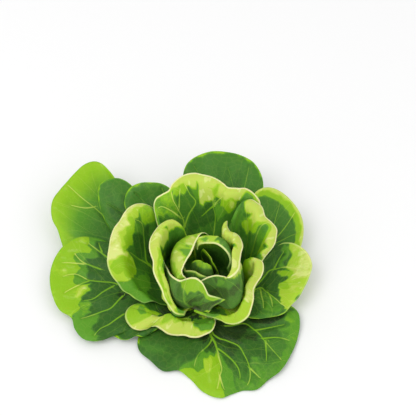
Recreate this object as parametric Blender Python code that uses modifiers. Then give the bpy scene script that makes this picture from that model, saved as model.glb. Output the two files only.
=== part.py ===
# Butterhead lettuce: a short stem cut flat below, and leaves joined to it at rising heights,
# from the spread outer leaves through the cupped wrapper leaves to the folded heart.
# The tables are in millimetres and degrees, the scene is in metres. +Z is up, the origin is the
# centre of the stem's cut face, and azimuths are counted from +X, counterclockwise from above.

import math

import bmesh
import bpy
import numpy as np

MM = 0.001

# Stem
STEM_FOOT_RADIUS = 17.0
STEM_TOP_RADIUS = 4.5
STEM_HEIGHT = 46.0
STEM_TAPER_END = 48.0
STEM_TAPER_POWER = 0.8
STEM_DOME = 3.0
STEM_STEPS = 32
STEM_EDGE = 0.8

# Leaf blades
BLADE_THICKNESS = 0.9
FOOT_EXTRA = 0.8
RIB_EXTRA = 1.1
RIB_WIDTH = 0.25
THICK_FADE = 2.5
JOIN_GAP = 1.0
SWING = 2.5

# Kinds of leaf: millimetres of rim for each column of cells, where the rows of cells lie from
# foot (0) to rim (1), and the share of the extra thickness at the foot
KINDS = {
    "outer": (10.5, (0, 0.15, 0.31, 0.48, 0.65, 0.82, 1), 1.0),
    "wrapper": (8.0, (0, 0.16, 0.32, 0.47, 0.6, 0.72, 0.82, 0.91, 1), 0.9),
    "inner": (7.0, (0, 0.16, 0.32, 0.47, 0.6, 0.72, 0.82, 0.91, 1), 0.8),
    "heart": (5.2, (0, 0.16, 0.32, 0.49, 0.66, 0.84, 1), 0.6),
    "tip": (3.6, (0, 0.2, 0.42, 0.66, 0.84, 1), 0.25),
}

COLOURS = {
    "outer": (0.13, 0.34, 0.05, 1),
    "wrapper": (0.27, 0.52, 0.05, 1),
    "inner": (0.36, 0.6, 0.07, 1),
    "heart": (0.3, 0.56, 0.06, 1),
    "tip": (0.33, 0.58, 0.08, 1),
    "stem": (0.72, 0.76, 0.45, 1),
}

# One leaf a row. "azimuth" is where its foot is centred on the stem, "foot" how high the foot
# joins and "spread" half the foot's width in degrees. "rim" is the free edge as (x, y, z) points,
# from one side of the foot round to the other. "profile" shapes the blade between foot and rim:
# (place from foot to rim, share of the reach, share of the rise, added reach, added rise), where a
# tuple varies evenly along the rim.
LEAVES = [
    {"name": "outer_back_low", "azimuth": 103, "foot": 2.6, "spread": 28,
     "rim": [(42, 31, 2), (50, 56, 2), (49, 79, 2), (40, 97, 3), (26, 107, 3), (11, 110, 2),
             (-4, 108, 2), (-19, 109, 2), (-35, 103, 3), (-49, 91, 3), (-54, 74, 2), (-50, 53, 2),
             (-40, 31, 2)],
     "profile": [(0.33, 0.33, 0.2, 0, 0), (0.66, 0.68, 0.6, 0, 0)]},
    {"name": "outer_front", "azimuth": 277, "foot": 3.5, "spread": 30,
     "rim": [(-37, -15, 3), (-53, -22, 2), (-63, -31, 2), (-63, -46, 2), (-52, -58, 2), (-40, -69, 2),
             (-26, -69, 4), (-15, -77, 2), (-4, -90, 2), (12, -97, 2), (22, -93, 2), (32, -89, 2),
             (45, -88, 2), (55, -79, 2), (67, -70, 4), (77, -53, 4), (84, -35, 5), (87, -18, 6),
             (85, -6, 7), (75, 2, 8), (54, 4, 8)],
     "profile": [(0.33, 0.33, 0.3, 0, -0.5), (0.66, 0.68, 0.7, 0, 1)]},
    {"name": "outer_left", "azimuth": 178, "foot": 9.5, "spread": 28,
     "rim": [(-73, 51, 14), (-93, 64, 17), (-104, 70, 20), (-114, 72, 22), (-124, 70, 23),
             (-133, 65, 22), (-142, 57, 20), (-149, 42, 17), (-150, 24, 15), (-146, 7, 13),
             (-138, -8, 11), (-127, -15, 9), (-123, -27, 8), (-114, -38, 8), (-103, -40, 7),
             (-94, -35, 7), (-88, -33, 7), (-79, -38, 6), (-72, -39, 6), (-64, -36, 7), (-58, -33, 7)],
     "profile": [(0.33, 0.33, 0.3, 0, -1), (0.66, 0.68, 0.7, 0, (3, 1, 0))]},
    {"name": "outer_upper_left", "azimuth": 142, "foot": 5, "spread": 18,
     "rim": [(-47, 71, 14), (-63, 95, 19), (-80, 119, 27), (-94, 139, 35), (-104, 150, 39),
             (-113, 155, 40), (-123, 152, 39), (-132, 143, 37), (-140, 132, 35), (-147, 122, 33),
             (-153, 111, 31), (-154, 99, 28), (-152, 90, 24), (-147, 82, 20), (-143, 71, 16),
             (-138, 60, 12), (-123, 48, 9), (-101, 35, 7)],
     "profile": [(0.33, 0.33, 0.14, 0, 0), (0.66, 0.68, 0.5, 0, 0)]},
    {"name": "outer_back_left_low", "azimuth": 129, "foot": 7.7, "spread": 11,
     "rim": [(-26, 49, 12), (-37, 69, 20), (-48, 90, 30), (-58, 101, 38), (-68, 112, 42),
             (-76, 119, 46), (-86, 124, 48), (-98, 123, 47), (-106, 119, 43), (-107, 108, 37),
             (-103, 95, 28), (-89, 73, 18)],
     "profile": [(0.33, 0.33, 0.16, 0, 0), (0.66, 0.68, 0.55, 0, 0)]},
    {"name": "outer_back_left", "azimuth": 117, "foot": 10.5, "spread": 14,
     "rim": [(-14, 62, 24), (-18, 79, 36), (-27, 94, 49), (-34, 102, 56), (-44, 107, 60),
             (-55, 107, 62), (-65, 107, 61), (-74, 105, 57), (-79, 99, 52), (-80, 91, 45),
             (-71, 78, 34)],
     "profile": [(0.33, 0.36, 0.16, 0, 0), (0.66, 0.72, 0.55, 0, 0)]},
    {"name": "outer_back", "azimuth": 76, "foot": 5.4, "spread": 23,
     "rim": [(42, 54, 11), (49, 76, 18), (54, 101, 27), (56, 129, 37), (48, 145, 45), (34, 153, 50),
             (18, 156, 52), (2, 156, 52), (-12, 151, 50), (-21, 143, 46), (-24, 131, 38),
             (-21, 113, 28)],
     "profile": [(0.33, 0.33, 0.14, 0, 0), (0.66, 0.68, 0.5, 0, 0)]},
    {"name": "outer_back_right", "azimuth": 45, "foot": 7.6, "spread": 22,
     "rim": [(60, 25, 11), (78, 40, 16), (90, 58, 21), (94, 75, 27), (92, 91, 32), (84, 104, 37),
             (72, 114, 41), (59, 117, 43), (48, 111, 43), (40, 97, 38), (32, 80, 30)],
     "profile": [(0.33, 0.33, 0.16, 0, 0), (0.66, 0.68, 0.52, 0, 0)]},
    {"name": "outer_right", "azimuth": 6, "foot": 10.5, "spread": 27,
     "rim": [(23, -9, 13), (38, -15, 14), (51, -18, 14), (62, -17, 15), (72, -14, 16), (79, -6, 18),
             (86, 1, 20), (92, 11, 22), (97, 22, 24), (100, 33, 26), (98, 43, 28), (93, 50, 30),
             (86, 54, 32), (80, 56, 32), (72, 56, 31), (65, 52, 28), (52, 41, 22)],
     "profile": [(0.33, 0.38, 0.16, 0, 0), (0.66, 0.7, 0.5, 0, 0)]},
    {"name": "wrapper_front", "azimuth": 230, "foot": 11.5, "spread": 30,
     "rim": [(-36, -2, 12), (-49, -2, 12), (-60, -3, 14), (-69, -5, 16), (-74, -10, 16),
             (-76, -17, 15), (-74, -24, 14), (-69, -29, 12), (-64, -31, 12), (-57, -30, 12),
             (-52, -28, 13), (-47, -28, 13), (-42, -31, 12), (-36, -35, 11), (-29, -36, 10),
             (-21, -36, 10), (-15, -38, 10), (-8, -38, 10), (-2, -36, 11), (4, -33, 12), (7, -28, 13),
             (8, -22, 14)],
     "profile": [
         (0.3, (0.5, 0.4, 0.36, 0.33, 0.3), 0.5, 0, (0, 0, 1, 0, 0)),
         (0.6, (0.7, 0.6, 0.52, 0.46, 0.4), 1, 0, (0, 1, 5, 2, 0)),
         (0.82, (0.85, 0.76, 0.66, 0.58, 0.5), 1, 0, (0, 3, 9, 7, 1)),
     ]},
    {"name": "wrapper_left", "azimuth": 164, "foot": 14.2, "spread": 24,
     "rim": [(-34, 68, 34), (-44, 72, 50), (-52, 74, 62), (-60, 72, 71), (-67, 70, 74), (-73, 66, 74),
             (-78, 59, 73), (-82, 52, 70), (-87, 45, 67), (-90, 36, 64), (-91, 29, 61), (-92, 23, 57),
             (-92, 16, 53), (-90, 10, 48), (-87, 6, 43), (-83, 3, 38), (-79, -1, 34), (-72, -3, 30),
             (-67, -6, 27), (-58, -10, 25)],
     "profile": [
         (0.3, (0.6, 0.42, 0.42), (0.2, 0.06, 0.06), 0, 0),
         (0.6, (0.84, 0.66, 0.66), (0.72, 0.5, 0.5), 0, 0),
         (0.84, (0.92, 0.82, 0.82), (0.9, 0.96, 1), 0, (0, 3, 1)),
     ]},
    {"name": "wrapper_back", "azimuth": 96, "foot": 16, "spread": 28,
     "rim": [(36, 49, 26), (44, 60, 42), (48, 67, 62), (50, 70, 76), (44, 73, 85), (36, 76, 89),
             (29, 74, 91), (20, 74, 92), (16, 78, 93), (11, 82, 94), (4, 85, 95), (-4, 87, 96),
             (-11, 89, 96), (-20, 88, 95), (-27, 85, 93), (-33, 80, 90), (-36, 75, 87), (-42, 73, 84),
             (-48, 72, 80), (-51, 68, 75), (-49, 58, 70), (-45, 48, 60)],
     "profile": [(0.3, 0.42, 0.06, 0, 0), (0.6, 0.66, 0.48, 0, 0), (0.84, 0.85, 0.9, 0, 2)]},
    {"name": "wrapper_right", "azimuth": 39, "foot": 18.5, "spread": 21,
     "rim": [(47, 14, 24), (49, 18, 35), (50, 21, 45), (53, 23, 52), (58, 26, 58), (63, 31, 62),
             (65, 37, 66), (65, 42, 70), (60, 47, 74), (54, 51, 78), (51, 59, 82), (46, 62, 85),
             (41, 65, 86), (35, 63, 86), (30, 56, 82), (25, 51, 74), (22, 48, 62)],
     "profile": [
         (0.3, (0.55, 0.42, 0.42), 0.1, 0, 0),
         (0.6, (0.78, 0.66, 0.66), 0.5, 0, 0),
         (0.84, 0.82, 0.96, 0, 3),
     ]},
    {"name": "wrapper_front_right", "azimuth": 320, "foot": 19.5, "spread": 42,
     "rim": [(-12, -18, 24), (-4, -22, 23), (4, -24, 22), (12, -27, 22), (18, -30, 21), (25, -31, 21),
             (31, -31, 24), (38, -27, 28), (41, -21, 33), (43, -14, 38), (43, -7, 42), (46, -2, 46),
             (50, 3, 50), (52, 9, 54), (51, 14, 57), (46, 16, 59), (41, 18, 55), (38, 19, 47)],
     "profile": [
         (0.3, (0.4, 0.6, 0.72, 0.74, 0.7), (0.08, 0.08, 0.08, 0.12, 0.3), 0, 0),
         (0.6, (0.6, 0.66, 0.76, 0.8, 0.74), (0.6, 0.6, 0.6, 0.68, 0.92), 0, (0, 2, 0)),
         (0.82, (0.82, 0.66, 0.75, 0.8, 0.84), 1, 0, (1, 4, 2)),
     ]},
    {"name": "inner_left", "azimuth": 175, "foot": 24, "spread": 42,
     "rim": [(-17, 39, 50), (-21, 38.5, 66), (-25, 36, 80), (-30, 36, 86), (-35.5, 36.5, 89),
             (-41.5, 32, 90), (-47.5, 24.5, 89), (-51.5, 16, 87), (-52, 9, 84), (-50.5, 4, 80),
             (-48.5, -0.5, 76), (-48.5, -6.5, 70), (-46, -11, 64), (-41.5, -16, 56), (-39, -20.5, 48),
             (-34.5, -24.5, 40), (-29, -28, 34), (-21, -26.5, 30)],
     "profile": [
         (0.3, (0.9, 0.75, 0.84), (0.14, 0.06, 0.06), 0, 0),
         (0.6, (0.95, 0.77, 0.9), 0.5, 0, 0),
         (0.82, (0.95, 0.76, 0.88), 1, 0, 3),
     ]},
    {"name": "heart_front", "azimuth": 236, "foot": 26, "spread": 28,
     "rim": [(-39.5, 14, 60), (-38.5, 6, 64), (-36, -0.5, 67), (-33.5, -6.5, 67), (-28.5, -12.5, 68),
             (-23.5, -15, 68), (-18, -11.5, 66), (-13.5, -11, 67), (-9, -12, 67), (-4.5, -15, 65),
             (-1.5, -18.5, 61), (1.5, -22.5, 57), (7.5, -23, 54), (12.5, -23, 51.5), (16.5, -23, 49)],
     "swing": (2.5, 2.5, 2, 1, 0.6),
     "profile": [
         (0.3, (0.74, 0.74, 0.74, 0.7, 0.66), (0.08, 0.08, 0.1, 0.16, 0.22), (-3, 2, 4, 4, 1.5), 0),
         (0.65, (1, 1, 1, 0.9, 0.75), (0.56, 0.56, 0.56, 0.56, 0.57), (-1, 3, 7, 3, 0), 0),
     ]},
    {"name": "inner_right", "azimuth": 328, "foot": 29.5, "spread": 48,
     "rim": [(-10, -12, 58), (-4.5, -12, 64), (1, -11.5, 68), (8, -11.5, 71), (15, -14.5, 73),
             (19.5, -18, 75), (24, -16.5, 77), (28.5, -10.5, 78), (29.5, -3.5, 80), (30.5, 4, 82),
             (32.5, 11.5, 84), (30.5, 18, 86), (26.5, 23, 87), (21, 25.5, 87), (18.5, 31.5, 86),
             (18.5, 40.5, 84), (18.5, 42, 76)],
     "profile": [
         (0.3, (0.9, 0.9, 0.5), 0.06, (1, 3, 4, 2, 0), 0),
         (0.6, (0.86, 0.86, 0.86, 0.7, 0.55), 0.5, (1, 2.5, 4, 2, 0), 0),
         (0.82, (0.9, 0.85, 0.62, 0.66, 0.7), (0.82, 0.86, 1, 1, 1), 0, (0, 0, 3, 2.5, 2)),
     ]},
    {"name": "heart_left", "azimuth": 152, "foot": 32, "spread": 40,
     "rim": [(3.5, 31.5, 70), (1, 29.5, 77), (-3.5, 28, 82), (-7, 23, 84), (-10, 16, 84), (-12, 9, 84),
             (-14.5, 3, 83), (-18, -3, 82), (-20.5, -7, 80), (-22, -11, 78), (-21.5, -11.5, 72),
             (-19, -10.5, 66)],
     "profile": [
         (0.3, 0.8, 0.06, (5, 10.5, 18.5, 7.5, 0), 0),
         (0.6, 1, 0.45, (5, 11, 22.5, 8.3, -1), 0),
         (0.84, 1, 0.84, (3, 7, 19, 7, -1), 0),
     ]},
    {"name": "heart_back", "azimuth": 50, "foot": 34.5, "spread": 38,
     "rim": [(18, -4, 70), (20.5, -0.5, 76), (19.5, 3, 80), (16.5, 7, 82), (12.5, 11, 83),
             (7.5, 13.5, 84), (2, 14, 84), (-3.5, 14.5, 83), (-7, 14.5, 81), (-8.5, 14, 75)],
     "profile": [
         (0.3, 0.9, 0.08, (5, 7, 9, 9, 7), 0),
         (0.6, 1, 0.55, (4, 7, 9.5, 9.5, 7), 0),
         (0.84, 1, (0.95, 0.97, 1, 1, 0.98), (0.5, 3, 8, 9, 6), 0),
     ]},
    {"name": "tip_front", "azimuth": 228, "foot": 37.5, "spread": 38,
     "rim": [(-21, 4, 64), (-20.5, -3.5, 68), (-14.5, -5, 69), (-10, -5.5, 68), (-5.5, -8, 67),
             (-1, -8.5, 65), (1.5, -6.5, 60)],
     "profile": [(0.3, 0.8, 0.1, (-3, -1, 2, 3, 2.6), 0), (0.65, 1, 0.6, (-3, -1, 1, 2.4, 1.8), 0)]},
    {"name": "tip_left", "azimuth": 240, "foot": 40.5, "spread": 55,
     "rim": [(-12.5, 5.5, 62), (-13, 3, 71), (-9.5, 2, 75), (-4.5, 0, 76), (0, -2, 76), (3, -2, 73),
             (3.5, 0, 66)],
     "profile": [(0.3, 0.8, 0.12, (2, 3, 5, 4.5, 4), 0), (0.65, 1, 0.6, (2, 2, 3, 3, 2.5), 0)]},
    {"name": "tip_right", "azimuth": 52, "foot": 43, "spread": 38,
     "rim": [(10, 1, 60), (7.5, 1, 68), (4.5, 3.5, 72), (2, 9.5, 73), (-1, 14, 73), (-3.5, 17.5, 72),
             (-5.5, 20, 64)],
     "profile": [(0.3, 0.8, 0.12, 1, 0), (0.65, 1, 0.6, 1, 0)]},
]


def hermite(points, knots, at):
    """Smooth line through points given at rising knots, read at the places in at."""
    points = np.asarray(points, float)
    knots = np.asarray(knots, float)
    step = knots[1:] - knots[:-1]
    wide = step.reshape((-1,) + (1,) * (points.ndim - 1))
    chord = (points[1:] - points[:-1]) / wide
    slope = np.zeros_like(points)
    slope[1:-1] = (chord[:-1] * wide[:-1] + chord[1:] * wide[1:]) / (wide[:-1] + wide[1:])
    slope[0] = 1.5 * chord[0] - 0.5 * slope[1]
    slope[-1] = 1.5 * chord[-1] - 0.5 * slope[-2]
    first = np.clip(np.searchsorted(knots, at, side="right") - 1, 0, len(knots) - 2)
    shape = np.shape(at) + (1,) * (points.ndim - 1)
    part = ((at - knots[first]) / step[first]).reshape(shape)
    length = step[first].reshape(shape)
    start, end = points[first], points[first + 1]
    return (
        (2 * part**3 - 3 * part**2 + 1) * start
        + (part**3 - 2 * part**2 + part) * length * slope[first]
        + (3 * part**2 - 2 * part**3) * end
        + (part**3 - part**2) * length * slope[first + 1]
    )


def stem_radius(height):
    """Radius of the stem at a height: wide at the cut, narrow at the growing point."""
    left = np.clip(1 - height / STEM_TAPER_END, 0, 1)
    return STEM_TOP_RADIUS + (STEM_FOOT_RADIUS - STEM_TOP_RADIUS) * left**STEM_TAPER_POWER


def rim_line(leaf, along):
    """Azimuth in radians, reach and height of a leaf's rim, for places along it from -1 to 1."""
    rim = np.array(leaf["rim"], float)
    azimuth = np.unwrap(np.arctan2(rim[:, 1], rim[:, 0]))
    azimuth += 2 * math.pi * round((math.radians(leaf["azimuth"]) - np.median(azimuth)) / 2 / math.pi)
    reach = np.hypot(rim[:, 0], rim[:, 1])
    length = np.concatenate([[0], np.cumsum(np.linalg.norm(np.diff(rim, axis=0), axis=1))])
    knots = length / length[-1] * 2 - 1
    return hermite(np.stack([azimuth, reach, rim[:, 2]], -1), knots, along), length[-1]


def varied(value, along):
    """A profile value along the rim: a number, or a tuple spread evenly from side to side."""
    if isinstance(value, tuple):
        return hermite(value, np.linspace(-1, 1, len(value)), along)
    return value + 0 * along


def blade_points(leaf, columns, places):
    """Middle surface of a blade as an array of points in metres, column by column."""
    along = np.linspace(-1, 1, columns + 1)
    rim, _ = rim_line(leaf, along)
    foot_reach = stem_radius(leaf["foot"]) + JOIN_GAP
    reach_span = rim[:, 1] - foot_reach
    rise_span = rim[:, 2] - leaf["foot"]
    knots = [0.0]
    reaches = [foot_reach + 0 * along]
    heights = [leaf["foot"] + 0 * along]
    for place, reach_share, rise_share, more_reach, more_rise in leaf["profile"]:
        knots.append(place)
        reaches.append(foot_reach + reach_span * varied(reach_share, along) + varied(more_reach, along))
        heights.append(leaf["foot"] + rise_span * varied(rise_share, along) + varied(more_rise, along))
    knots.append(1.0)
    reaches.append(rim[:, 1])
    heights.append(rim[:, 2])
    places = np.array(places, float)
    reach = hermite(reaches, knots, places).T
    height = hermite(heights, knots, places).T
    foot_azimuth = math.radians(leaf["azimuth"]) + along * math.radians(leaf["spread"])
    swing = 1 - (1 - places) ** varied(leaf.get("swing", SWING), along)[:, None]
    azimuth = foot_azimuth[:, None] + (rim[:, :1] - foot_azimuth[:, None]) * swing
    return np.stack([reach * np.cos(azimuth), reach * np.sin(azimuth), height], -1) * MM


def blade_thickness(columns, places, extra):
    """Thickness over the blade: thicker at the foot, most along the midrib."""
    along = np.linspace(-1, 1, columns + 1)[:, None]
    fade = (1 - np.array(places, float)[None]) ** THICK_FADE
    rib = np.exp(-((along / RIB_WIDTH) ** 2))
    return BLADE_THICKNESS + extra * (FOOT_EXTRA + RIB_EXTRA * rib) * fade


def new_object(name, mesh, collection, colour):
    """Link a mesh as a named object with a material of its own."""
    part = bpy.data.objects.new(name, mesh)
    collection.objects.link(part)
    material = bpy.data.materials.new(name)
    material.use_nodes = True
    shader = material.node_tree.nodes["Principled BSDF"]
    shader.inputs["Base Color"].default_value = colour
    shader.inputs["Roughness"].default_value = 0.5
    shader.inputs["Metallic"].default_value = 0.0
    mesh.materials.append(material)
    return part


def make_leaf(leaf, collection):
    """A leaf: a grid bent to the blade's middle surface, thickened to both sides."""
    kind = leaf["name"].split("_")[0]
    column_length, places, extra = KINDS[kind]
    _, rim_length = rim_line(leaf, np.zeros(1))
    columns = max(10, round(rim_length / column_length))
    rows = len(places) - 1
    points = blade_points(leaf, columns, places)
    thickness = blade_thickness(columns, places, extra)

    form = bmesh.new()
    bmesh.ops.create_grid(form, x_segments=columns, y_segments=rows, size=0.5)
    form.verts.ensure_lookup_table()
    layer = form.verts.layers.deform.verify()
    thickest = thickness.max()
    for vertex in form.verts:
        column = round((vertex.co.x + 0.5) * columns)
        row = round((vertex.co.y + 0.5) * rows)
        vertex.co = points[column, row]
        vertex[layer][0] = thickness[column, row] / thickest
    bmesh.ops.triangulate(form, faces=form.faces[:])
    mesh = bpy.data.meshes.new(leaf["name"])
    form.to_mesh(mesh)
    form.free()
    mesh.shade_smooth()

    part = new_object(leaf["name"], mesh, collection, COLOURS[kind])
    part.vertex_groups.new(name="thickness")
    solid = part.modifiers.new("blade", "SOLIDIFY")
    solid.thickness = thickest * MM
    solid.offset = 0
    solid.vertex_group = "thickness"
    solid.thickness_vertex_group = 0
    return part


def make_stem(collection):
    """The stem: a turned profile with a flat cut face and a small bevel round its edge."""
    top = STEM_HEIGHT - STEM_DOME
    profile = [(0.0, STEM_HEIGHT)]
    for turn in (0.25, 0.5, 0.75):
        angle = turn * math.pi / 2
        profile.append((stem_radius(top) * math.sin(angle), top + STEM_DOME * math.cos(angle)))
    for height in np.linspace(top, STEM_EDGE, 11):
        profile.append((stem_radius(height), height))
    profile.append((STEM_FOOT_RADIUS - STEM_EDGE, 0.0))
    profile.append((0.0, 0.0))

    form = bmesh.new()
    line = [form.verts.new((radius * MM, 0, height * MM)) for radius, height in profile]
    for upper, lower in zip(line, line[1:]):
        form.edges.new((upper, lower))
    mesh = bpy.data.meshes.new("stem")
    form.to_mesh(mesh)
    form.free()

    part = new_object("stem", mesh, collection, COLOURS["stem"])
    turned = part.modifiers.new("turned", "SCREW")
    turned.axis = "Z"
    turned.steps = STEM_STEPS
    turned.render_steps = STEM_STEPS
    turned.use_merge_vertices = True
    turned.merge_threshold = 0.00001
    turned.use_smooth_shade = True
    return part


def main():
    for thing in list(bpy.data.objects):
        bpy.data.objects.remove(thing)
    collection = bpy.data.collections.new("butterhead_lettuce")
    bpy.context.scene.collection.children.link(collection)
    make_stem(collection)
    for leaf in LEAVES:
        make_leaf(leaf, collection)


main()
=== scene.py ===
import math

import bmesh
import bpy
import numpy as np
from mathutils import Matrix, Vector, noise


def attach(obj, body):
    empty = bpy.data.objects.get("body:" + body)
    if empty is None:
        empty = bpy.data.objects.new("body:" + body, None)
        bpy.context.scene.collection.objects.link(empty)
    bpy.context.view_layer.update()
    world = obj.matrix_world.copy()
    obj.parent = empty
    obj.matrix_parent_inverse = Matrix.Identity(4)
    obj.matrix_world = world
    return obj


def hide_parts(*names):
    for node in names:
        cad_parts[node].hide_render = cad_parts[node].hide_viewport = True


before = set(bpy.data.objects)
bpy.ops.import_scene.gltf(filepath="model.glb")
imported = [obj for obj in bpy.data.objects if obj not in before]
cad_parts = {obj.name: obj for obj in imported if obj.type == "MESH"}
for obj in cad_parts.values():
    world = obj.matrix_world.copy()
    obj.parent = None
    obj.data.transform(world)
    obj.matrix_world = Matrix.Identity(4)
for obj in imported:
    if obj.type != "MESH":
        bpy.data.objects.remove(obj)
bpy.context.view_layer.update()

mm = 0.001

cameraPlace = {
    "elevation": 50.0,          # degrees above the horizon, looking along +Y
    "aim": (0.00095, 0.0742, 0.0623),
    "distance": 1.0978,
    "lens": 100.0,
    "sensorWidth": 36.0,
    "farthest": 20.0,
}


def addObject(name, data):
    made = bpy.data.objects.new(name, data)
    bpy.context.scene.collection.objects.link(made)
    return made


def makeCamera(place):
    tilt = math.radians(place["elevation"])
    back = Vector((0, -math.cos(tilt), math.sin(tilt)))
    lens = bpy.data.cameras.new("viewpoint")
    lens.lens = place["lens"]
    lens.sensor_width = place["sensorWidth"]
    lens.clip_end = place["farthest"]
    camera = addObject("viewpoint", lens)
    camera.location = Vector(place["aim"]) + back * place["distance"]
    camera.rotation_euler = (math.pi / 2 - tilt, 0, 0)
    bpy.context.scene.camera = camera


makeCamera(cameraPlace)
print("camera set")

# the leaves grow from the stem as they do in the solids; sizes in mm
stemForm = {"footRadius": 17.0, "topRadius": 4.5, "taperEnd": 48.0, "taperPower": 0.8, "joinGap": 1.0}


def smoothLine(points, knots, at):
    points = np.asarray(points, float)
    knots = np.asarray(knots, float)
    step = knots[1:] - knots[:-1]
    wide = step.reshape((-1,) + (1,) * (points.ndim - 1))
    chord = (points[1:] - points[:-1]) / wide
    slope = np.zeros_like(points)
    slope[1:-1] = (chord[:-1] * wide[:-1] + chord[1:] * wide[1:]) / (wide[:-1] + wide[1:])
    slope[0] = 1.5 * chord[0] - 0.5 * slope[1]
    slope[-1] = 1.5 * chord[-1] - 0.5 * slope[-2]
    first = np.clip(np.searchsorted(knots, at, side="right") - 1, 0, len(knots) - 2)
    shape = np.shape(at) + (1,) * (points.ndim - 1)
    part = ((at - knots[first]) / step[first]).reshape(shape)
    length = step[first].reshape(shape)
    return (
        (2 * part**3 - 3 * part**2 + 1) * points[first]
        + (part**3 - 2 * part**2 + part) * length * slope[first]
        + (3 * part**2 - 2 * part**3) * points[first + 1]
        + (part**3 - part**2) * length * slope[first + 1]
    )


def stemRadius(height):
    left = np.clip(1 - height / stemForm["taperEnd"], 0, 1) ** stemForm["taperPower"]
    return stemForm["topRadius"] + (stemForm["footRadius"] - stemForm["topRadius"]) * left


# one number for the whole leaf, or several spread from its one side to the other
def varied(value, along):
    if isinstance(value, tuple):
        return smoothLine(value, np.linspace(-1, 1, len(value)), along)
    return value + 0 * along


def rimLine(leaf, along):
    rim = np.array(leaf["rim"], float)
    azimuth = np.unwrap(np.arctan2(rim[:, 1], rim[:, 0]))
    azimuth += 2 * math.pi * round((math.radians(leaf["azimuth"]) - np.median(azimuth)) / 2 / math.pi)
    reach = np.hypot(rim[:, 0], rim[:, 1])
    length = np.concatenate([[0], np.cumsum(np.linalg.norm(np.diff(rim, axis=0), axis=1))])
    return smoothLine(np.stack([azimuth, reach, rim[:, 2]], -1), length / length[-1] * 2 - 1, along)


# points in mm, one row for each place across (-1 to 1) and one column for each place outward (0 to 1)
def bladeAt(leaf, along, places):
    rim = rimLine(leaf, along)
    footReach = stemRadius(leaf["foot"]) + stemForm["joinGap"]
    reachSpan = rim[:, 1] - footReach
    riseSpan = rim[:, 2] - leaf["foot"]
    knots = [0.0]
    reaches = [footReach + 0 * along]
    heights = [leaf["foot"] + 0 * along]
    for place, reachShare, riseShare, *more in leaf["profile"]:
        moreReach, moreRise = more or (0, 0)
        knots.append(place)
        reaches.append(footReach + reachSpan * varied(reachShare, along) + varied(moreReach, along))
        heights.append(leaf["foot"] + riseSpan * varied(riseShare, along) + varied(moreRise, along))
    knots.append(1.0)
    reaches.append(rim[:, 1])
    heights.append(rim[:, 2])
    reach = smoothLine(reaches, knots, places).T
    height = smoothLine(heights, knots, places).T
    footAzimuth = math.radians(leaf["azimuth"]) + along * math.radians(leaf["spread"])
    swing = 1 - (1 - places) ** varied(leaf["swing"], along)[:, None]
    azimuth = footAzimuth[:, None] + (rim[:, :1] - footAzimuth[:, None]) * swing
    return np.stack([reach * np.cos(azimuth), reach * np.sin(azimuth), height], -1)


def facing(points):
    across = np.gradient(points, axis=0)
    outward = np.gradient(points, axis=1)
    normal = np.cross(outward, across)
    return normal / np.maximum(np.linalg.norm(normal, axis=-1, keepdims=True), 1e-9)


def softNoise(first, second, seed):
    flat = [noise.noise((a, b, seed)) for a, b in zip(first.ravel().tolist(), second.ravel().tolist())]
    return np.array(flat).reshape(first.shape)


def smoothStep(low, high, value):
    t = np.clip((value - low) / (high - low), 0, 1)
    return t * t * (3 - 2 * t)


veinForm = {
    "midrib": (1.6, 0.4),       # half widths in mm, where the vein starts and at its tip
    "main": (1.0, 0.4),
    "side": (0.55, 0.22),
    "forkShare": 0.7,           # a fork's width against the vein it leaves
    "taper": 0.7,
    "apart": 7.0,               # veins of one family keep this far apart
    "families": 2,              # of the strong veins, and of the faint ones
    "farthest": 9.0,            # distances are kept up to this many half widths
    "points": 28,
    "acrossShare": 0.8,         # a step across against one outward, in spacing the points
    "bend": 0.04,               # the rest in shares of the leaf, across and outward
    "midribRows": (0.35, 0.7, 0.95),
    "spacing": (0.2, 0.7),      # where in its own stretch of the midrib a side vein leaves
    "starts": (0.06, 0.6),      # the first of them, and over how much of the midrib they go
    "startPower": 1.1,
    "reach": (0.93, 0.8),       # how far across the lowest one goes, and how much less the topmost
    "end": 0.9,
    "endSpread": (-0.03, 0.05),
    "sweep": 0.8,
    "wander": 0.012,
    "fork": ((0.04, 0.14, 0.16), (0.09, 0.24, 0.3)),
}


def pointsOn(leaf, path):
    path = np.array(path, float)
    gaps = np.hypot(np.diff(path[:, 0]) * veinForm["acrossShare"], np.diff(path[:, 1]))
    steps = np.concatenate([[0], np.cumsum(gaps)])
    t = np.linspace(0, 1, veinForm["points"])
    if len(path) > 2:
        line = smoothLine(path, steps / steps[-1], t)
    else:
        line = path[0] + (path[1] - path[0]) * t[:, None]
    along = np.clip(line[:, 0], -1, 1)
    place = np.clip(line[:, 1], 0, 1)
    return np.array([bladeAt(leaf, np.array([a]), np.array([q]))[0, 0] for a, q in zip(along, place)])


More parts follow.
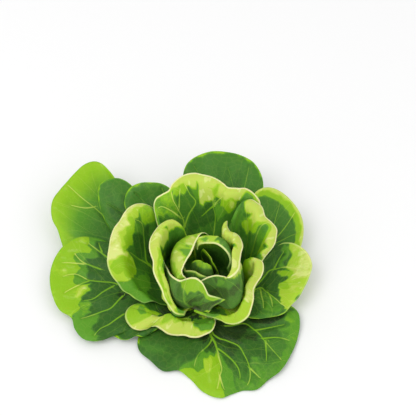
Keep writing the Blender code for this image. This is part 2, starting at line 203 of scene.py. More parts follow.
# strong veins and faint side veins, each with its half widths and its path
def leafVeins(leaf, random):
    form = veinForm
    tip = leaf["tip"]
    traced = [np.array(path) / 100 for path in leaf["veins"]]
    strong = [(form["midrib"] if path[0][1] < 0.05 else form["main"], path) for path in traced]
    faint = []
    if not traced:
        bend = random.uniform(-form["bend"], form["bend"])
        low, high, top = form["midribRows"]
        path = [(0, 0), (tip * 0.4 + bend, low), (tip * 0.8 - bend, high), (tip, top)]
        strong.append((form["midrib"], path))
    for side in (-1, 1):
        count = leaf["laterals"]
        for n in range(count):
            share = (n + random.uniform(*form["spacing"])) / count
            start = form["starts"][0] + form["starts"][1] * share ** form["startPower"]
            end = tip + side * (1 - side * tip) * (form["reach"][0] - form["reach"][1] * share)
            origin = tip * min(1, start * 1.1)
            top = form["end"] + random.uniform(*form["endSpread"])
            path = []
            for t in (0, 0.25, 0.5, 0.75, 1):
                wander = random.uniform(-form["wander"], form["wander"])
                across = origin + (end - origin) * t ** form["sweep"] + wander
                path.append((across, start + (top - start) * t))
            group = strong if not traced and n % 2 == 0 else faint
            group.append((form["side"], path))
            # a fork halfway
            x, y = path[2]
            way = side * random.choice((-1, 1))
            branch = [(x, y)]
            for sideways, along, outward in form["fork"]:
                branch.append((x + way * sideways + (end - origin) * along, y + outward))
            faint.append(((form["side"][0] * form["forkShare"], form["side"][1]), branch))
    return strong, faint


# signed distances to the veins of each family, in half widths, and the distance to the nearest of a group
def veinDistances(leaf, groups, points, normals):
    farthest = veinForm["farthest"]
    families = []
    for group in groups:
        own = [[] for _ in range(veinForm["families"])]
        for (startHalf, endHalf), path in group:
            line = pointsOn(leaf, path)
            half = startHalf + (endHalf - startHalf) * np.linspace(0, 1, len(line)) ** veinForm["taper"]
            gaps = [min((np.linalg.norm(line[:, None] - other[0][None], axis=-1).min() for other in family),
                        default=math.inf) for family in own]
            roomy = [index for index, gap in enumerate(gaps) if gap > veinForm["apart"]]
            best = roomy[0] if roomy else int(np.argmax(gaps))
            own[best].append((line, np.gradient(line, axis=0), half))
        families.extend(own)
    flat = points.reshape(-1, 3)
    up = normals.reshape(-1, 3)
    signed = []
    nearest = [np.full(len(flat), farthest), np.full(len(flat), farthest)]
    for number, family in enumerate(families):
        if not family:
            signed.append(np.full(len(flat), farthest))
            continue
        line, tangent, half = (np.concatenate([vein[part] for vein in family]) for part in range(3))
        index = ((flat**2).sum(1)[:, None] - 2 * flat @ line.T + (line**2).sum(1)[None]).argmin(1)
        offset = flat - line[index]
        direction = tangent[index] / np.linalg.norm(tangent[index], axis=1, keepdims=True)
        ahead = (offset * direction).sum(1)
        side = offset - ahead[:, None] * direction
        ends = np.cumsum([len(vein[0]) for vein in family]) - 1
        starts = np.concatenate([[0], ends[:-1] + 1])
        beyond = np.where(np.isin(index, ends) & (ahead > 0), ahead, 0)
        beyond = np.where(np.isin(index, starts) & (ahead < 0), -ahead, beyond)
        distance = np.sqrt((side**2).sum(1) + beyond**2)
        sign = np.where((np.cross(direction, offset) * up).sum(1) < 0, -1, 1)
        signed.append(np.clip(sign * distance / half[index], -farthest, farthest))
        group = number // veinForm["families"]
        nearest[group] = np.minimum(nearest[group], distance / half[index])
    return signed, nearest


# each green, the tones between which it shows in clear patches, and its tone where greens run softly; the
# darkest green is painted shade, for the recesses of the head and the shadows of leaves on one another
leafGreens = {
    "shadeGreen": ((0.017, 0.050, 0.008), (0.0, 0.08), 0.04),
    "dark": ((0.037, 0.136, 0.013), (0.16, 0.26), 0.21),
    "green": ((0.064, 0.214, 0.018), (0.33, 0.41), 0.37),
    "mid": ((0.108, 0.320, 0.016), (0.47, 0.56), 0.51),
    "lime": ((0.280, 0.525, 0.008), (0.61, 0.7), 0.66),
    "bright": ((0.405, 0.615, 0.030), (0.74, 0.8), 0.77),
    "pale": ((0.530, 0.660, 0.090), (0.83, 0.89), 0.86),
    "milk": ((0.680, 0.750, 0.225), (0.93, 1.0), 0.96),
}
leafColours = {
    # cream: the thin pale edge of the leaf, and also the colour of the painted highlight glints on the
    # margin
    "cream": (0.840, 0.880, 0.400),
    "vein": (0.600, 0.700, 0.130),
    "deepVein": (0.220, 0.470, 0.015),
    "underside": (0.300, 0.500, 0.110),
}
leafPattern = {
    "toneScale": 0.9,
    "streak": 0.42,             # patches are drawn out from foot to rim, the way the tissue grows
    "patches": (0.13, 3.0, 0.6, 0.24),      # how fine, how many layers, how rough, how strong
    "specks": (0.55, 2.0, 0.55, 0.06),
    "softPatches": 0.35,        # share of both where the greens run softly
    # painted highlights: small pale glints on the lit margin
    "paintedGlints": (0.2, 1.5, 0.45),
    "glintEdge": (0.6, 0.68),
    "glintTones": (0.7, 0.95),
    "net": (0.09, 0.05),        # line width as a share of a cell, how strong
    "veinEdge": (0.6, 1.25),    # half widths over which a vein's colour fades out
    "veinGuard": (3.6, 4.6),    # and beyond which none shows
    "veinTones": (0.3, 0.72),   # from deep to pale veins
    "faintVeins": 0.22,
    "strongVeins": 0.95,
    "rimEdge": (1.2, 2.1),      # mm over which the cream edge fades out
    "underside": 0.14,
}
leafFinish = {
    "roughness": 0.5,
    "roughnessVariation": 0.14,
    "underRoughness": 0.15,
    "specular": 0.22,
    "subsurface": 0.3,
    "subsurfaceRadius": (0.4, 1.0, 0.2),
    "subsurfaceScale": 0.002,
    "bump": 0.4,
    "bumpHeight": 0.0006,
    "glossRate": 0.35,
    "netRelief": -0.25,
    "veinRelief": 0.6,
    "grain": ((0.9, 3.0, 0.35), (0.16, 2.0, 1.2)),      # how fine, how many layers, how high
}


def newMaterial(name):
    material = bpy.data.materials.new(name)
    material.use_nodes = True
    return material, material.node_tree, material.node_tree.nodes["Principled BSDF"]


def fill(tree, node, inputs):
    for key, value in inputs.items():
        socket = node.inputs[key]
        if isinstance(value, bpy.types.NodeSocket):
            tree.links.new(value, socket)
        else:
            socket.default_value = (*value, 1) if socket.type == "RGBA" else value


def addNode(tree, kind, output, inputs, **settings):
    made = tree.nodes.new("ShaderNode" + kind)
    for key, value in settings.items():
        setattr(made, key, value)
    fill(tree, made, inputs)
    return made.outputs[output]


def calc(tree, operation, *values):
    return addNode(tree, "Math", 0, dict(enumerate(values)), operation=operation)


def plus(tree, first, second):
    return calc(tree, "ADD", first, second)


def times(tree, first, second):
    return calc(tree, "MULTIPLY", first, second)


def between(tree, value, low, high, toLow=0.0, toHigh=1.0, curve="SMOOTHSTEP"):
    inputs = {"Value": value, "From Min": low, "From Max": high, "To Min": toLow, "To Max": toHigh}
    return addNode(tree, "MapRange", "Result", inputs, interpolation_type=curve)


def attribute(tree, label):
    return addNode(tree, "Attribute", "Fac", {}, attribute_name=label)


def mix(tree, share, first, second):
    return addNode(tree, "Mix", "Result", {"Factor": share, "A": first, "B": second}, data_type="RGBA")


def cloudy(tree, vector, scale, detail, rough=0.55):
    inputs = {"Vector": vector, "Scale": scale, "Detail": detail, "Roughness": rough}
    return addNode(tree, "TexNoise", "Fac", inputs)


def colourRamp(tree, value, stops):
    ramp = tree.nodes.new("ShaderNodeValToRGB")
    fill(tree, ramp, {"Fac": value})
    marks = ramp.color_ramp.elements
    for mark, (position, colour) in zip(marks, (stops[0], stops[-1])):
        mark.position, mark.color = position, (*colour, 1)
    for position, colour in stops[1:-1]:
        marks.new(position).color = (*colour, 1)
    return ramp.outputs["Color"]


def leafMaterial(name, cell):
    colours, pattern, finish = leafColours, leafPattern, leafFinish
    material, tree, shader = newMaterial(name)
    tone, under, across, outward, leafNumber = (
        attribute(tree, label) for label in ("tone", "under", "across", "outward", "leafNumber"))
    place = addNode(tree, "CombineXYZ", 0, {"X": across, "Y": outward, "Z": leafNumber})
    drawnOut = times(tree, outward, pattern["streak"])
    streak = addNode(tree, "CombineXYZ", 0, {"X": across, "Y": drawnOut, "Z": leafNumber})

    # bands of green by tone, from the foot's painted shade to the pale margin
    stirs = []
    for vector, kind in ((streak, "patches"), (place, "specks")):
        scale, detail, rough, strength = pattern[kind]
        wave = calc(tree, "SUBTRACT", cloudy(tree, vector, scale, detail, rough), 0.5)
        stirs.append(times(tree, wave, strength))
    stir = plus(tree, *stirs)
    stirred = plus(tree, tone, stir)
    softer = plus(tree, tone, times(tree, stir, pattern["softPatches"]))
    patchStops = [(at, colour) for colour, patch, _ in leafGreens.values() for at in patch]
    softStops = [(at, colour) for colour, _, at in leafGreens.values()]
    ramps = [colourRamp(tree, times(tree, value, pattern["toneScale"]), stops)
             for value, stops in ((stirred, patchStops), (softer, softStops))]
    base = mix(tree, attribute(tree, "gradual"), *ramps)

    # painted highlights: small pale glints in the cream colour on the margin
    scale, detail, strength = pattern["paintedGlints"]
    paintedGlints = between(tree, cloudy(tree, streak, scale, detail), *pattern["glintEdge"])
    share = between(tree, stirred, *pattern["glintTones"], 0.0, strength)
    base = mix(tree, times(tree, paintedGlints, share), base, colours["cream"])

    # fine net of veins
    lineWidth, strength = pattern["net"]
    inputs = {"Vector": place, "Scale": 1 / cell}
    net = addNode(tree, "TexVoronoi", "Distance", inputs, feature="DISTANCE_TO_EDGE")
    netLine = between(tree, net, 0.0, lineWidth, 1.0, 0.0)
    base = mix(tree, times(tree, netLine, strength), base, colours["vein"])

    # main veins
    shares = []
    for families, far in ((("veinA", "veinB"), "strongFar"), (("veinC", "veinD"), "faintFar")):
        guard = between(tree, attribute(tree, far), *pattern["veinGuard"], 1.0, 0.0)
        sides = [calc(tree, "ABSOLUTE", attribute(tree, family)) for family in families]
        lines = [between(tree, side, *pattern["veinEdge"], 1.0, 0.0) for side in sides]
        shares.append(times(tree, calc(tree, "MAXIMUM", *lines), guard))
    strong, faint = shares
    lit = between(tree, stirred, *pattern["veinTones"])
    veinColour = mix(tree, lit, colours["deepVein"], colours["vein"])
    show = attribute(tree, "veinShow")
    for share, strength in ((faint, pattern["faintVeins"]), (strong, pattern["strongVeins"])):
        base = mix(tree, times(tree, times(tree, share, strength), show), base, veinColour)
    veins = calc(tree, "MAXIMUM", strong, times(tree, faint, 0.5))

    # underside a little paler, and the thin pale edge
    base = mix(tree, times(tree, under, pattern["underside"]), base, colours["underside"])
    rim = between(tree, attribute(tree, "edge"), *pattern["rimEdge"], 1.0, 0.0)
    base = mix(tree, times(tree, rim, attribute(tree, "creamEdge")), base, colours["cream"])

    lowest = finish["roughness"] - finish["roughnessVariation"] / 2
    gloss = times(tree, cloudy(tree, place, finish["glossRate"], 2.0), finish["roughnessVariation"])
    rough = plus(tree, plus(tree, lowest, gloss), times(tree, under, finish["underRoughness"]))

    relief = plus(tree, times(tree, netLine, finish["netRelief"]), times(tree, veins, finish["veinRelief"]))
    for scale, detail, height in finish["grain"]:
        relief = plus(tree, relief, times(tree, cloudy(tree, place, scale, detail), height))
    bump = {"Strength": finish["bump"], "Distance": finish["bumpHeight"], "Height": relief}
    fill(tree, shader, {
        "Base Color": base, "Roughness": rough, "Specular IOR Level": finish["specular"],
        "Subsurface Weight": finish["subsurface"], "Subsurface Radius": finish["subsurfaceRadius"],
        "Subsurface Scale": finish["subsurfaceScale"], "Normal": addNode(tree, "Bump", "Normal", bump),
    })
    return material


bladeForm = {
    "blade": 0.75,              # thickness in mm, away from foot and veins
    "edge": 0.5,
    "edgeWidth": 2.5,           # mm over which it thins to the edge
    "footExtra": 0.8,
    "ribExtra": 1.1,
    "ribWidth": 0.25,
    "fade": 2.5,                # how soon the thick foot thins outward
    "veinRise": 0.5,
    "veinSlope": (2.2, 0.4),    # half widths over which a vein rises
    "faintShare": 1.5,          # faint veins rise as if this much further away
    "quiltRate": 0.06,
    "quiltSlope": (0.6, 8),     # half widths from a vein over which a cushion rises
    "quiltEdge": 7,             # mm from the edge over which it rises
    "quiltRows": (0.15, 0.4),   # rows, as shares outward, over which each starts
    "waveRate": (0.028, 0.018),
    "waveRows": (0.35, 0.8),
    "frillRate": 0.01,
    "frillRows": (0.7, 1),
    "creamRows": (0.35, 0.7),
    "rowPower": 0.85,           # rows stand closer together towards the rim
    "widthRow": 0.7,            # the leaf's width is taken here
}
# tones of the pale and the lime margin, how soft the borders are, and how far they wander, in mm
toneForm = {
    "pale": 0.95,
    "lime": 0.74,
    "soft": 1.0,
    "jitter": (1.5, 3.0),
    "jitterRates": ((0.16, 0.07), (0.2, 0.08)),
}


# signed distance to a closed outline, below 0 inside
def insideOutline(first, second, outline):
    inside = np.zeros(first.shape, bool)
    nearest = np.full(first.shape, 1e9)
    for (x0, y0), (x1, y1) in zip(outline, np.roll(outline, -1, axis=0)):
        crosses = (y0 > second) != (y1 > second)
        dx, dy = x1 - x0, y1 - y0
        at = x0 + (second - y0) * dx / (dy or 1e-9)
        inside ^= crosses & (first < at)
        t = np.clip(((first - x0) * dx + (second - y0) * dy) / max(dx * dx + dy * dy, 1e-9), 0, 1)
        nearest = np.minimum(nearest, np.hypot(first - x0 - t * dx, second - y0 - t * dy))
    return np.where(inside, -nearest, nearest)


# the leaf's tones: its own margins and patches of green, with painted shade where the fade runs low at the
# foot and in the darkest patches
def leafTone(leaf, along, places, edge, halfWidth, length, seed):
    soft = toneForm["soft"]
    stops = np.array(leaf["fade"], float)
    tone = np.interp(places, stops[:, 0], stops[:, 1])[None] + 0 * edge
    u = along[:, None] * halfWidth + 0 * edge
    v = places[None] * length + 0 * edge
    shakeU, shakeV = (
        softNoise(u * rateU, v * rateV, seed + apart) * much
        for (rateU, rateV), apart, much in zip(toneForm["jitterRates"], (3.3, 9.1), toneForm["jitter"]))
    pale = varied(leaf["pale"], along)[:, None]
    lime = varied(leaf["lime"], along)[:, None]
    for width, value in ((pale + lime, toneForm["lime"]), (pale, toneForm["pale"])):
        share = smoothStep(soft, -soft, edge + shakeV - width) * smoothStep(0, 0.5, width)
        tone = tone + (value - tone) * share
    for value, outline in leaf["patchesAndShade"]:
        scaled = np.array(outline) / 100 * (halfWidth, length)
        share = smoothStep(soft, -soft, insideOutline(u + shakeU, v + shakeV, scaled))
        tone = tone + (value - tone) * share
    return tone


def bendLeaf(smooth, normals, places, kind, strongFar, edge, across, outward, seed):
    # soft quilting between the veins, broad waves, and a little frill at the margin
    form = bladeForm
    cushions = softNoise(across * form["quiltRate"], outward * form["quiltRate"], seed + 0.5)
    quilt = smoothStep(*form["quiltSlope"], strongFar) * (0.7 + 0.8 * cushions)
    inside = smoothStep(0, form["quiltEdge"], edge) * smoothStep(*form["quiltRows"], places)
    waves = softNoise(across * form["waveRate"][0], outward * form["waveRate"][1], seed + 4.5)
    waves = waves * smoothStep(*form["waveRows"], places)
    frill = softNoise(across * kind["frillRate"], outward * form["frillRate"], seed + 7.5)
    frill = frill * kind["frill"] * smoothStep(*form["frillRows"], places)
    lift = quilt * inside * kind["quilt"] + frill + waves * kind["wave"]
    return smooth + normals * lift[..., None]


def leafThickness(along, places, footShare, far, edge):
    form = bladeForm
    fade = (1 - places[None]) ** form["fade"]
    rib = np.exp(-((along[:, None] / form["ribWidth"]) ** 2))
    thick = form["blade"] + footShare * (form["footExtra"] + form["ribExtra"] * rib) * fade
    thick = thick + form["veinRise"] * smoothStep(*form["veinSlope"], far) * (1 - 0.6 * places[None])
    return thick - (form["blade"] - form["edge"]) * smoothStep(form["edgeWidth"], 0, edge)


def addLayer(mesh, label, values):
    mesh.attributes.new(label, "FLOAT", "POINT").data.foreach_set("value", values.astype(np.float32))


def makeLeaf(leaf, kind, number, material):
    random = np.random.default_rng(100 + number)
    columns, rows = kind["columns"], kind["rows"]
    along = np.linspace(-1, 1, columns + 1)
    places = np.linspace(0, 1, rows + 1) ** bladeForm["rowPower"]
    smooth = bladeAt(leaf, along, places)
    normals = facing(smooth)

    # mm from the foot, and from the nearest free edge
    steps = np.linalg.norm(np.diff(smooth, axis=1), axis=-1)
    edge = np.pad(np.cumsum(steps[:, ::-1], axis=1)[:, ::-1], ((0, 0), (0, 1)))
    outward = edge[:, :1] - edge
    for side in (smooth[:1], smooth[-1:]):
        edge = np.minimum(edge, np.linalg.norm(smooth - side, axis=-1))
    widthLine = smooth[:, int(rows * bladeForm["widthRow"])]
    halfWidth = 0.5 * np.linalg.norm(np.diff(widthLine, axis=0), axis=-1).sum()
    across = along[:, None] * halfWidth + 0 * edge

    signed, nearest = veinDistances(leaf, leafVeins(leaf, random), smooth, normals)
    strongFar, faintFar = (values.reshape(edge.shape) for values in nearest)
    points = bendLeaf(smooth, normals, places, kind, strongFar, edge, across, outward, number)
    far = np.minimum(strongFar, faintFar * bladeForm["faintShare"])
    thick = leafThickness(along, places, kind["footShare"], far, edge)
    thickest = thick.max()

    form = bmesh.new()
    bmesh.ops.create_grid(form, x_segments=columns, y_segments=rows, size=0.5)
    layer = form.verts.layers.deform.verify()
    order = []
    for vertex in form.verts:
        column = round((vertex.co.x + 0.5) * columns)
        row = round((vertex.co.y + 0.5) * rows)
        order.append(column * (rows + 1) + row)
        vertex.co = points[column, row] * mm
        vertex[layer][0] = thick[column, row] / thickest
    mesh = bpy.data.meshes.new(leaf["name"] + "_blade")
    form.to_mesh(mesh)
    form.free()
    mesh.shade_smooth()

    farthest = veinForm["farthest"]
    layers = {
        "edge": edge, "across": across, "outward": outward,
        "tone": leafTone(leaf, along, places, edge, halfWidth, steps.sum(1).mean(), number),
        "strongFar": np.clip(strongFar, 0, farthest), "faintFar": np.clip(faintFar, 0, farthest),
        "creamEdge": varied(leaf["cream"], along)[:, None] * smoothStep(*bladeForm["creamRows"], places),
        "veinShow": varied(leaf["veinShow"], along)[:, None],
        "gradual": leaf["gradual"],
        "leafNumber": number * 37.0,        # far apart, so that no two leaves share a pattern
    }
    for label, values in zip(("veinA", "veinB", "veinC", "veinD"), signed):
        layers[label] = values.reshape(edge.shape)
    for label, values in layers.items():
        addLayer(mesh, label, (values + 0 * edge).ravel()[order])

    piece = addObject(leaf["name"] + "_blade", mesh)
    piece.vertex_groups.new(name="thickness")
    solid = piece.modifiers.new("blade", "SOLIDIFY")
    solid.thickness = thickest * mm
    solid.offset = 0
    solid.vertex_group = "thickness"
    solid.thickness_vertex_group = 0
    whole = bpy.data.meshes.new_from_object(piece.evaluated_get(bpy.context.evaluated_depsgraph_get()))
    piece.modifiers.clear()
    piece.data = whole
    whole.name = leaf["name"] + "_skin"

    # which face of the blade a vertex is on
    skin = np.empty(len(whole.vertices) * 3)
    whole.vertices.foreach_get("co", skin)
    layersDeep = len(whole.vertices) // len(order)
    middle = np.tile(points.reshape(-1, 3)[order] * mm, (layersDeep, 1))
    up = np.tile(facing(points).reshape(-1, 3)[order], (layersDeep, 1))
    addLayer(whole, "under", ((skin.reshape(-1, 3) - middle) * up).sum(1) < 0)
    bpy.data.meshes.remove(mesh)
    whole.materials.clear()
    whole.materials.append(material)
    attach(piece, "root")
    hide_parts(leaf["name"])


# foot: height on the stem in mm, spread: half its width there in degrees, rim: points in mm,
# profile: place outward, shares of the reach and of the rise there, and what they have more in mm,
# fade: tones from foot to rim, dark at the foot partly as the leaf's own green and partly as painted shade
# of the head's deep inside,
# pale and lime: widths of the margins in mm, cream: strength of the thin edge,
# tip: place of the midrib's end, laterals: side veins to each side.
# Veins and patches, each with its tone, are in hundredths: across -100 to 100, outward 0 to 100.
# The patches hold the leaf's own greens and painted shade: mostly their lowest tones paint the shadows
# of leaves lying over one another and the dark of crevices and of the heart's inside.
plainLeaf = {
    "swing": 2.5, "gradual": 0, "pale": 0, "lime": 2, "cream": 0, "veinShow": 1, "tip": 0, "laterals": 4,
    "veins": [], "patchesAndShade": [],
}
outerLeaves = [
    {"name": "outer_back_low", "azimuth": 103, "foot": 2.6, "spread": 28,
     "rim": [(42, 31, 2), (50, 56, 2), (49, 79, 2), (40, 97, 3), (26, 107, 3), (11, 110, 2), (-4, 108, 2),
         (-19, 109, 2), (-35, 103, 3), (-49, 91, 3), (-54, 74, 2), (-50, 53, 2), (-40, 31, 2)],
     "profile": [(0.33, 0.33, 0.2), (0.66, 0.68, 0.6)],
     "fade": [(0, 0.02), (0.4, 0.15), (0.7, 0.4), (1, 0.56)],
     "pale": (1, 2, 1), "lime": (3, 5, 3), "cream": 0.2, "laterals": 5},
    {"name": "outer_front", "azimuth": 277, "foot": 3.5, "spread": 30,
     "rim": [(-37, -15, 3), (-53, -22, 2), (-63, -31, 2), (-63, -46, 2), (-52, -58, 2), (-40, -69, 2),
         (-26, -69, 4), (-15, -77, 2), (-4, -90, 2), (12, -97, 2), (22, -93, 2), (32, -89, 2), (45, -88, 2),
         (55, -79, 2), (67, -70, 4), (77, -53, 4), (84, -35, 5), (87, -18, 6), (85, -6, 7), (75, 2, 8),
         (54, 4, 8)],
     "profile": [(0.33, 0.33, 0.3, 0, -0.5), (0.66, 0.68, 0.7, 0, 1)],
     "fade": [(0, 0), (0.3, 0.1), (0.45, 0.25), (0.7, 0.3), (1, 0.42)],
     "lime": (1.2, 1.2, 2, 2, 2, 1.5, 1.5, 1.5), "veinShow": (0.15, 0.25, 1, 1, 1), "tip": -0.07,
     "laterals": 2,
     "veins": [[(0, 0), (-7, 15), (-1, 29), (-2, 46), (-3, 64), (-6, 72), (-9, 87)], [(-6, 72), (-5, 89)],
         [(-6, 23), (-27, 49), (-30, 75)], [(1, 38), (9, 51), (11, 64), (8, 82)],
         [(2, 12), (3, 18), (22, 29), (29, 41), (24, 57), (19, 72), (11, 91)], [(19, 73), (20, 90)],
         [(62, 13), (75, 29), (62, 44), (54, 54), (48, 62), (42, 76), (39, 91)],
         [(60, 47), (63, 61), (66, 77)], [(50, 59), (54, 73), (55, 89)], [(47, 64), (39, 70), (32, 78)]],
     "patchesAndShade": [
         (0.3, [(-79, 104), (-7, 14), (-21, 41), (-31, 62), (-37, 80), (-40, 104)]),
         (0.56, [(-41, 104), (-36, 79), (-31, 62), (-25, 44), (-5, 38), (-11, 47), (-19, 55), (-18, 71),
             (-32, 90)]),
         (0.74, [(-41, 104), (-33, 84), (-27, 80), (-19, 68), (-21, 61), (-21, 53), (-13, 46), (-4, 40),
             (-3, 49), (-3, 60), (-5, 72), (-6, 87), (-5, 104)]),
         (0.84, [(-21, 55), (-13, 46), (-10, 53), (-12, 67), (-17, 74), (-20, 66)]),
         (0.57, [(-2, 39), (2, 48), (3, 64), (5, 70), (4, 81), (2, 91), (3, 104), (-5, 104), (-6, 87),
             (-5, 72), (-3, 60), (-3, 49)]),
         # painted shade: near-black where the head above shades this leaf near its foot
         (0.02, [(19, 8), (88, 5), (77, 29), (68, 39), (49, 37), (37, 39), (28, 29), (13, 20)]),
         (0.13, [(49, 37), (60, 41), (56, 50), (45, 56), (41, 47), (32, 44), (20, 50), (12, 51), (8, 41),
             (5, 26), (27, 30), (35, 38)]),
         (0.5, [(27, 66), (30, 68), (28, 78), (29, 85), (35, 85), (40, 90), (46, 89), (51, 88), (55, 79),
             (61, 75), (66, 86), (59, 97), (51, 104), (3, 104), (2, 91), (5, 81), (10, 87), (18, 74)]),
         (0.43, [(47, 62), (54, 72), (52, 83), (47, 88), (41, 83), (40, 71)]),
         (0.62, [(79, 104), (82, 104), (56, 104), (50, 98), (55, 89), (66, 86), (70, 79), (76, 82)]),
         (0.04, [(82, 37), (74, 80), (70, 73), (66, 58), (70, 43)])]},
    {"name": "outer_left", "azimuth": 178, "foot": 9.5, "spread": 28,
     "rim": [(-73, 51, 14), (-93, 64, 17), (-104, 70, 20), (-114, 72, 22), (-124, 70, 23), (-133, 65, 22),
         (-142, 57, 20), (-149, 42, 17), (-150, 24, 15), (-146, 7, 13), (-138, -8, 11), (-127, -15, 9),
         (-123, -27, 8), (-114, -38, 8), (-103, -40, 7), (-94, -35, 7), (-88, -33, 7), (-79, -38, 6),
         (-72, -39, 6), (-64, -36, 7), (-58, -33, 7)],
     "profile": [(0.33, 0.33, 0.3, 0, -1), (0.66, 0.68, 0.7, 0, (3, 1, 0))],
     "fade": [(0, 0), (0.3, 0.08), (0.5, 0.22), (0.8, 0.28), (1, 0.3)],
     "tip": -0.2, "laterals": 2,
     "veins": [[(0, 0), (-20, 51), (-17, 61), (-15, 70), (-17, 75), (-18, 81), (-14, 89)],
         [(-14, 70), (-6, 79), (2, 89)], [(-47, 67), (-49, 77), (-51, 87)], [(-50, 74), (-57, 84)],
         [(-31, 64), (-31, 75), (-32, 80), (-36, 87)], [(-30, 77), (-26, 92)],
         [(-15, 53), (-4, 60), (6, 68), (9, 76)], [(-2, 47), (18, 58), (25, 69), (30, 82), (32, 91)],
         [(33, 55), (43, 69), (46, 79), (51, 88)]],
     "patchesAndShade": [
         (0.56, [(-62, 104), (-68, 104), (-65, 86), (-59, 87), (-51, 81), (-48, 76), (-42, 72), (-37, 73),
             (-36, 76), (-31, 76), (-25, 73), (-19, 72), (-16, 72), (-8, 77), (-7, 84), (-27, 90),
             (-44, 93)]),
         (0.54, [(12, 81), (9, 73), (14, 71), (25, 79), (31, 89), (27, 73), (38, 79), (46, 87), (55, 87),
             (61, 104), (32, 104), (25, 91)]),
         (0.76, [(-62, 104), (-54, 90), (-48, 85), (-46, 79), (-42, 79), (-38, 87), (-33, 86), (-29, 82),
             (-24, 79), (-20, 79), (-16, 81), (-8, 81), (-7, 77), (-12, 69), (-5, 69), (2, 73), (8, 78),
             (12, 80), (18, 84), (25, 91), (30, 104)]),
         (0.64, [(12, 80), (9, 73), (14, 71), (25, 79), (29, 88), (22, 86)]),
         (0.9, [(6, 83), (-1, 78), (-8, 74), (-8, 71), (-3, 73), (4, 77), (7, 82)]),
         (0.08, [(-12, 51), (-6, 42), (7, 47), (3, 52)]),
         (0.17, [(-6, 60), (-16, 53), (-13, 49), (3, 51), (7, 58)])]},
    {"name": "outer_upper_left", "azimuth": 142, "foot": 5, "spread": 18,
     "rim": [(-47, 71, 14), (-63, 95, 19), (-80, 119, 27), (-94, 139, 35), (-104, 150, 39), (-113, 155, 40),
         (-123, 152, 39), (-132, 143, 37), (-140, 132, 35), (-147, 122, 33), (-153, 111, 31),
         (-154, 99, 28), (-152, 90, 24), (-147, 82, 20), (-143, 71, 16), (-138, 60, 12), (-123, 48, 9),
         (-101, 35, 7)],
     "profile": [(0.33, 0.33, 0.14), (0.66, 0.68, 0.5)],
     "fade": [(0, 0.02), (0.4, 0.15), (0.58, 0.28), (0.7, 0.42), (0.8, 0.56), (0.9, 0.7), (1, 0.78)],
     "gradual": 1, "veinShow": 0.9, "tip": 0.09, "laterals": 5,
     "veins": [[(0, 0), (1, 30), (3, 59), (5, 68), (6, 76), (8, 86), (9, 98)],
         [(6, 77), (13, 81), (19, 88)]]},
    {"name": "outer_back_left_low", "azimuth": 129, "foot": 7.7, "spread": 11,
     "rim": [(-26, 49, 12), (-37, 69, 20), (-48, 90, 30), (-58, 101, 38), (-68, 112, 42), (-76, 119, 46),
         (-86, 124, 48), (-98, 123, 47), (-106, 119, 43), (-107, 108, 37), (-103, 95, 28), (-89, 73, 18)],
     "profile": [(0.33, 0.33, 0.16), (0.66, 0.68, 0.55)],
     "fade": [(0, 0.02), (0.4, 0.12), (0.6, 0.22), (0.85, 0.34), (1, 0.45)],
     "lime": 1.2, "veinShow": 0.5},
    {"name": "outer_back_left", "azimuth": 117, "foot": 10.5, "spread": 14,
     "rim": [(-14, 62, 24), (-18, 79, 36), (-27, 94, 49), (-34, 102, 56), (-44, 107, 60), (-55, 107, 62),
         (-65, 107, 61), (-74, 105, 57), (-79, 99, 52), (-80, 91, 45), (-71, 78, 34)],
     "profile": [(0.33, 0.36, 0.16), (0.66, 0.72, 0.55)],
     "fade": [(0, 0.02), (0.4, 0.12), (0.6, 0.22), (0.85, 0.36), (1, 0.5)],
     "lime": 1.2, "veinShow": 0.5},
    {"name": "outer_back", "azimuth": 76, "foot": 5.4, "spread": 23,
     "rim": [(42, 54, 11), (49, 76, 18), (54, 101, 27), (56, 129, 37), (48, 145, 45), (34, 153, 50),
         (18, 156, 52), (2, 156, 52), (-12, 151, 50), (-21, 143, 46), (-24, 131, 38), (-21, 113, 28)],
     "profile": [(0.33, 0.33, 0.14), (0.66, 0.68, 0.5)],
     "fade": [(0, 0.02), (0.4, 0.12), (0.6, 0.22), (0.85, 0.36), (1, 0.45)],
     "lime": 1.5, "veinShow": 0.5, "laterals": 5},
    {"name": "outer_back_right", "azimuth": 45, "foot": 7.6, "spread": 22,
     "rim": [(60, 25, 11), (78, 40, 16), (90, 58, 21), (94, 75, 27), (92, 91, 32), (84, 104, 37),
         (72, 114, 41), (59, 117, 43), (48, 111, 43), (40, 97, 38), (32, 80, 30)],
     "profile": [(0.33, 0.33, 0.16), (0.66, 0.68, 0.52)],
     "fade": [(0, 0.02), (0.4, 0.12), (0.6, 0.25), (0.85, 0.42), (1, 0.56)],
     "pale": (2, 4, 2), "lime": (4, 7, 4), "cream": 0.2, "laterals": 5},
    {"name": "outer_right", "azimuth": 6, "foot": 10.5, "spread": 27,
     "rim": [(23, -9, 13), (38, -15, 14), (51, -18, 14), (62, -17, 15), (72, -14, 16), (79, -6, 18),
         (86, 1, 20), (92, 11, 22), (97, 22, 24), (100, 33, 26), (98, 43, 28), (93, 50, 30), (86, 54, 32),
         (80, 56, 32), (72, 56, 31), (65, 52, 28), (52, 41, 22)],
     "profile": [(0.33, 0.38, 0.16), (0.66, 0.7, 0.5)],
     "fade": [(0, 0.02), (0.3, 0.1), (0.5, 0.25), (1, 0.3)],
     "lime": 1.5, "cream": (0.05, 0.05, 0.25, 0.35, 0.3), "tip": 0.25,
     "veins": [[(0, 0), (30, 25), (49, 53), (44, 61), (38, 70), (30, 78), (25, 86)],
         [(46, 59), (52, 69), (55, 77), (57, 84)],
         [(5, 10), (26, 34), (8, 44), (-9, 57), (-24, 75), (-32, 91)], [(21, 36), (-8, 43), (-35, 57)],
         [(-3, 51), (-16, 58), (-31, 69)]],
     "patchesAndShade": [
         (0.48, [(27, 31), (-7, 53), (-16, 67), (-35, 90), (-51, 98), (-66, 104), (-76, 89), (-15, 35)]),
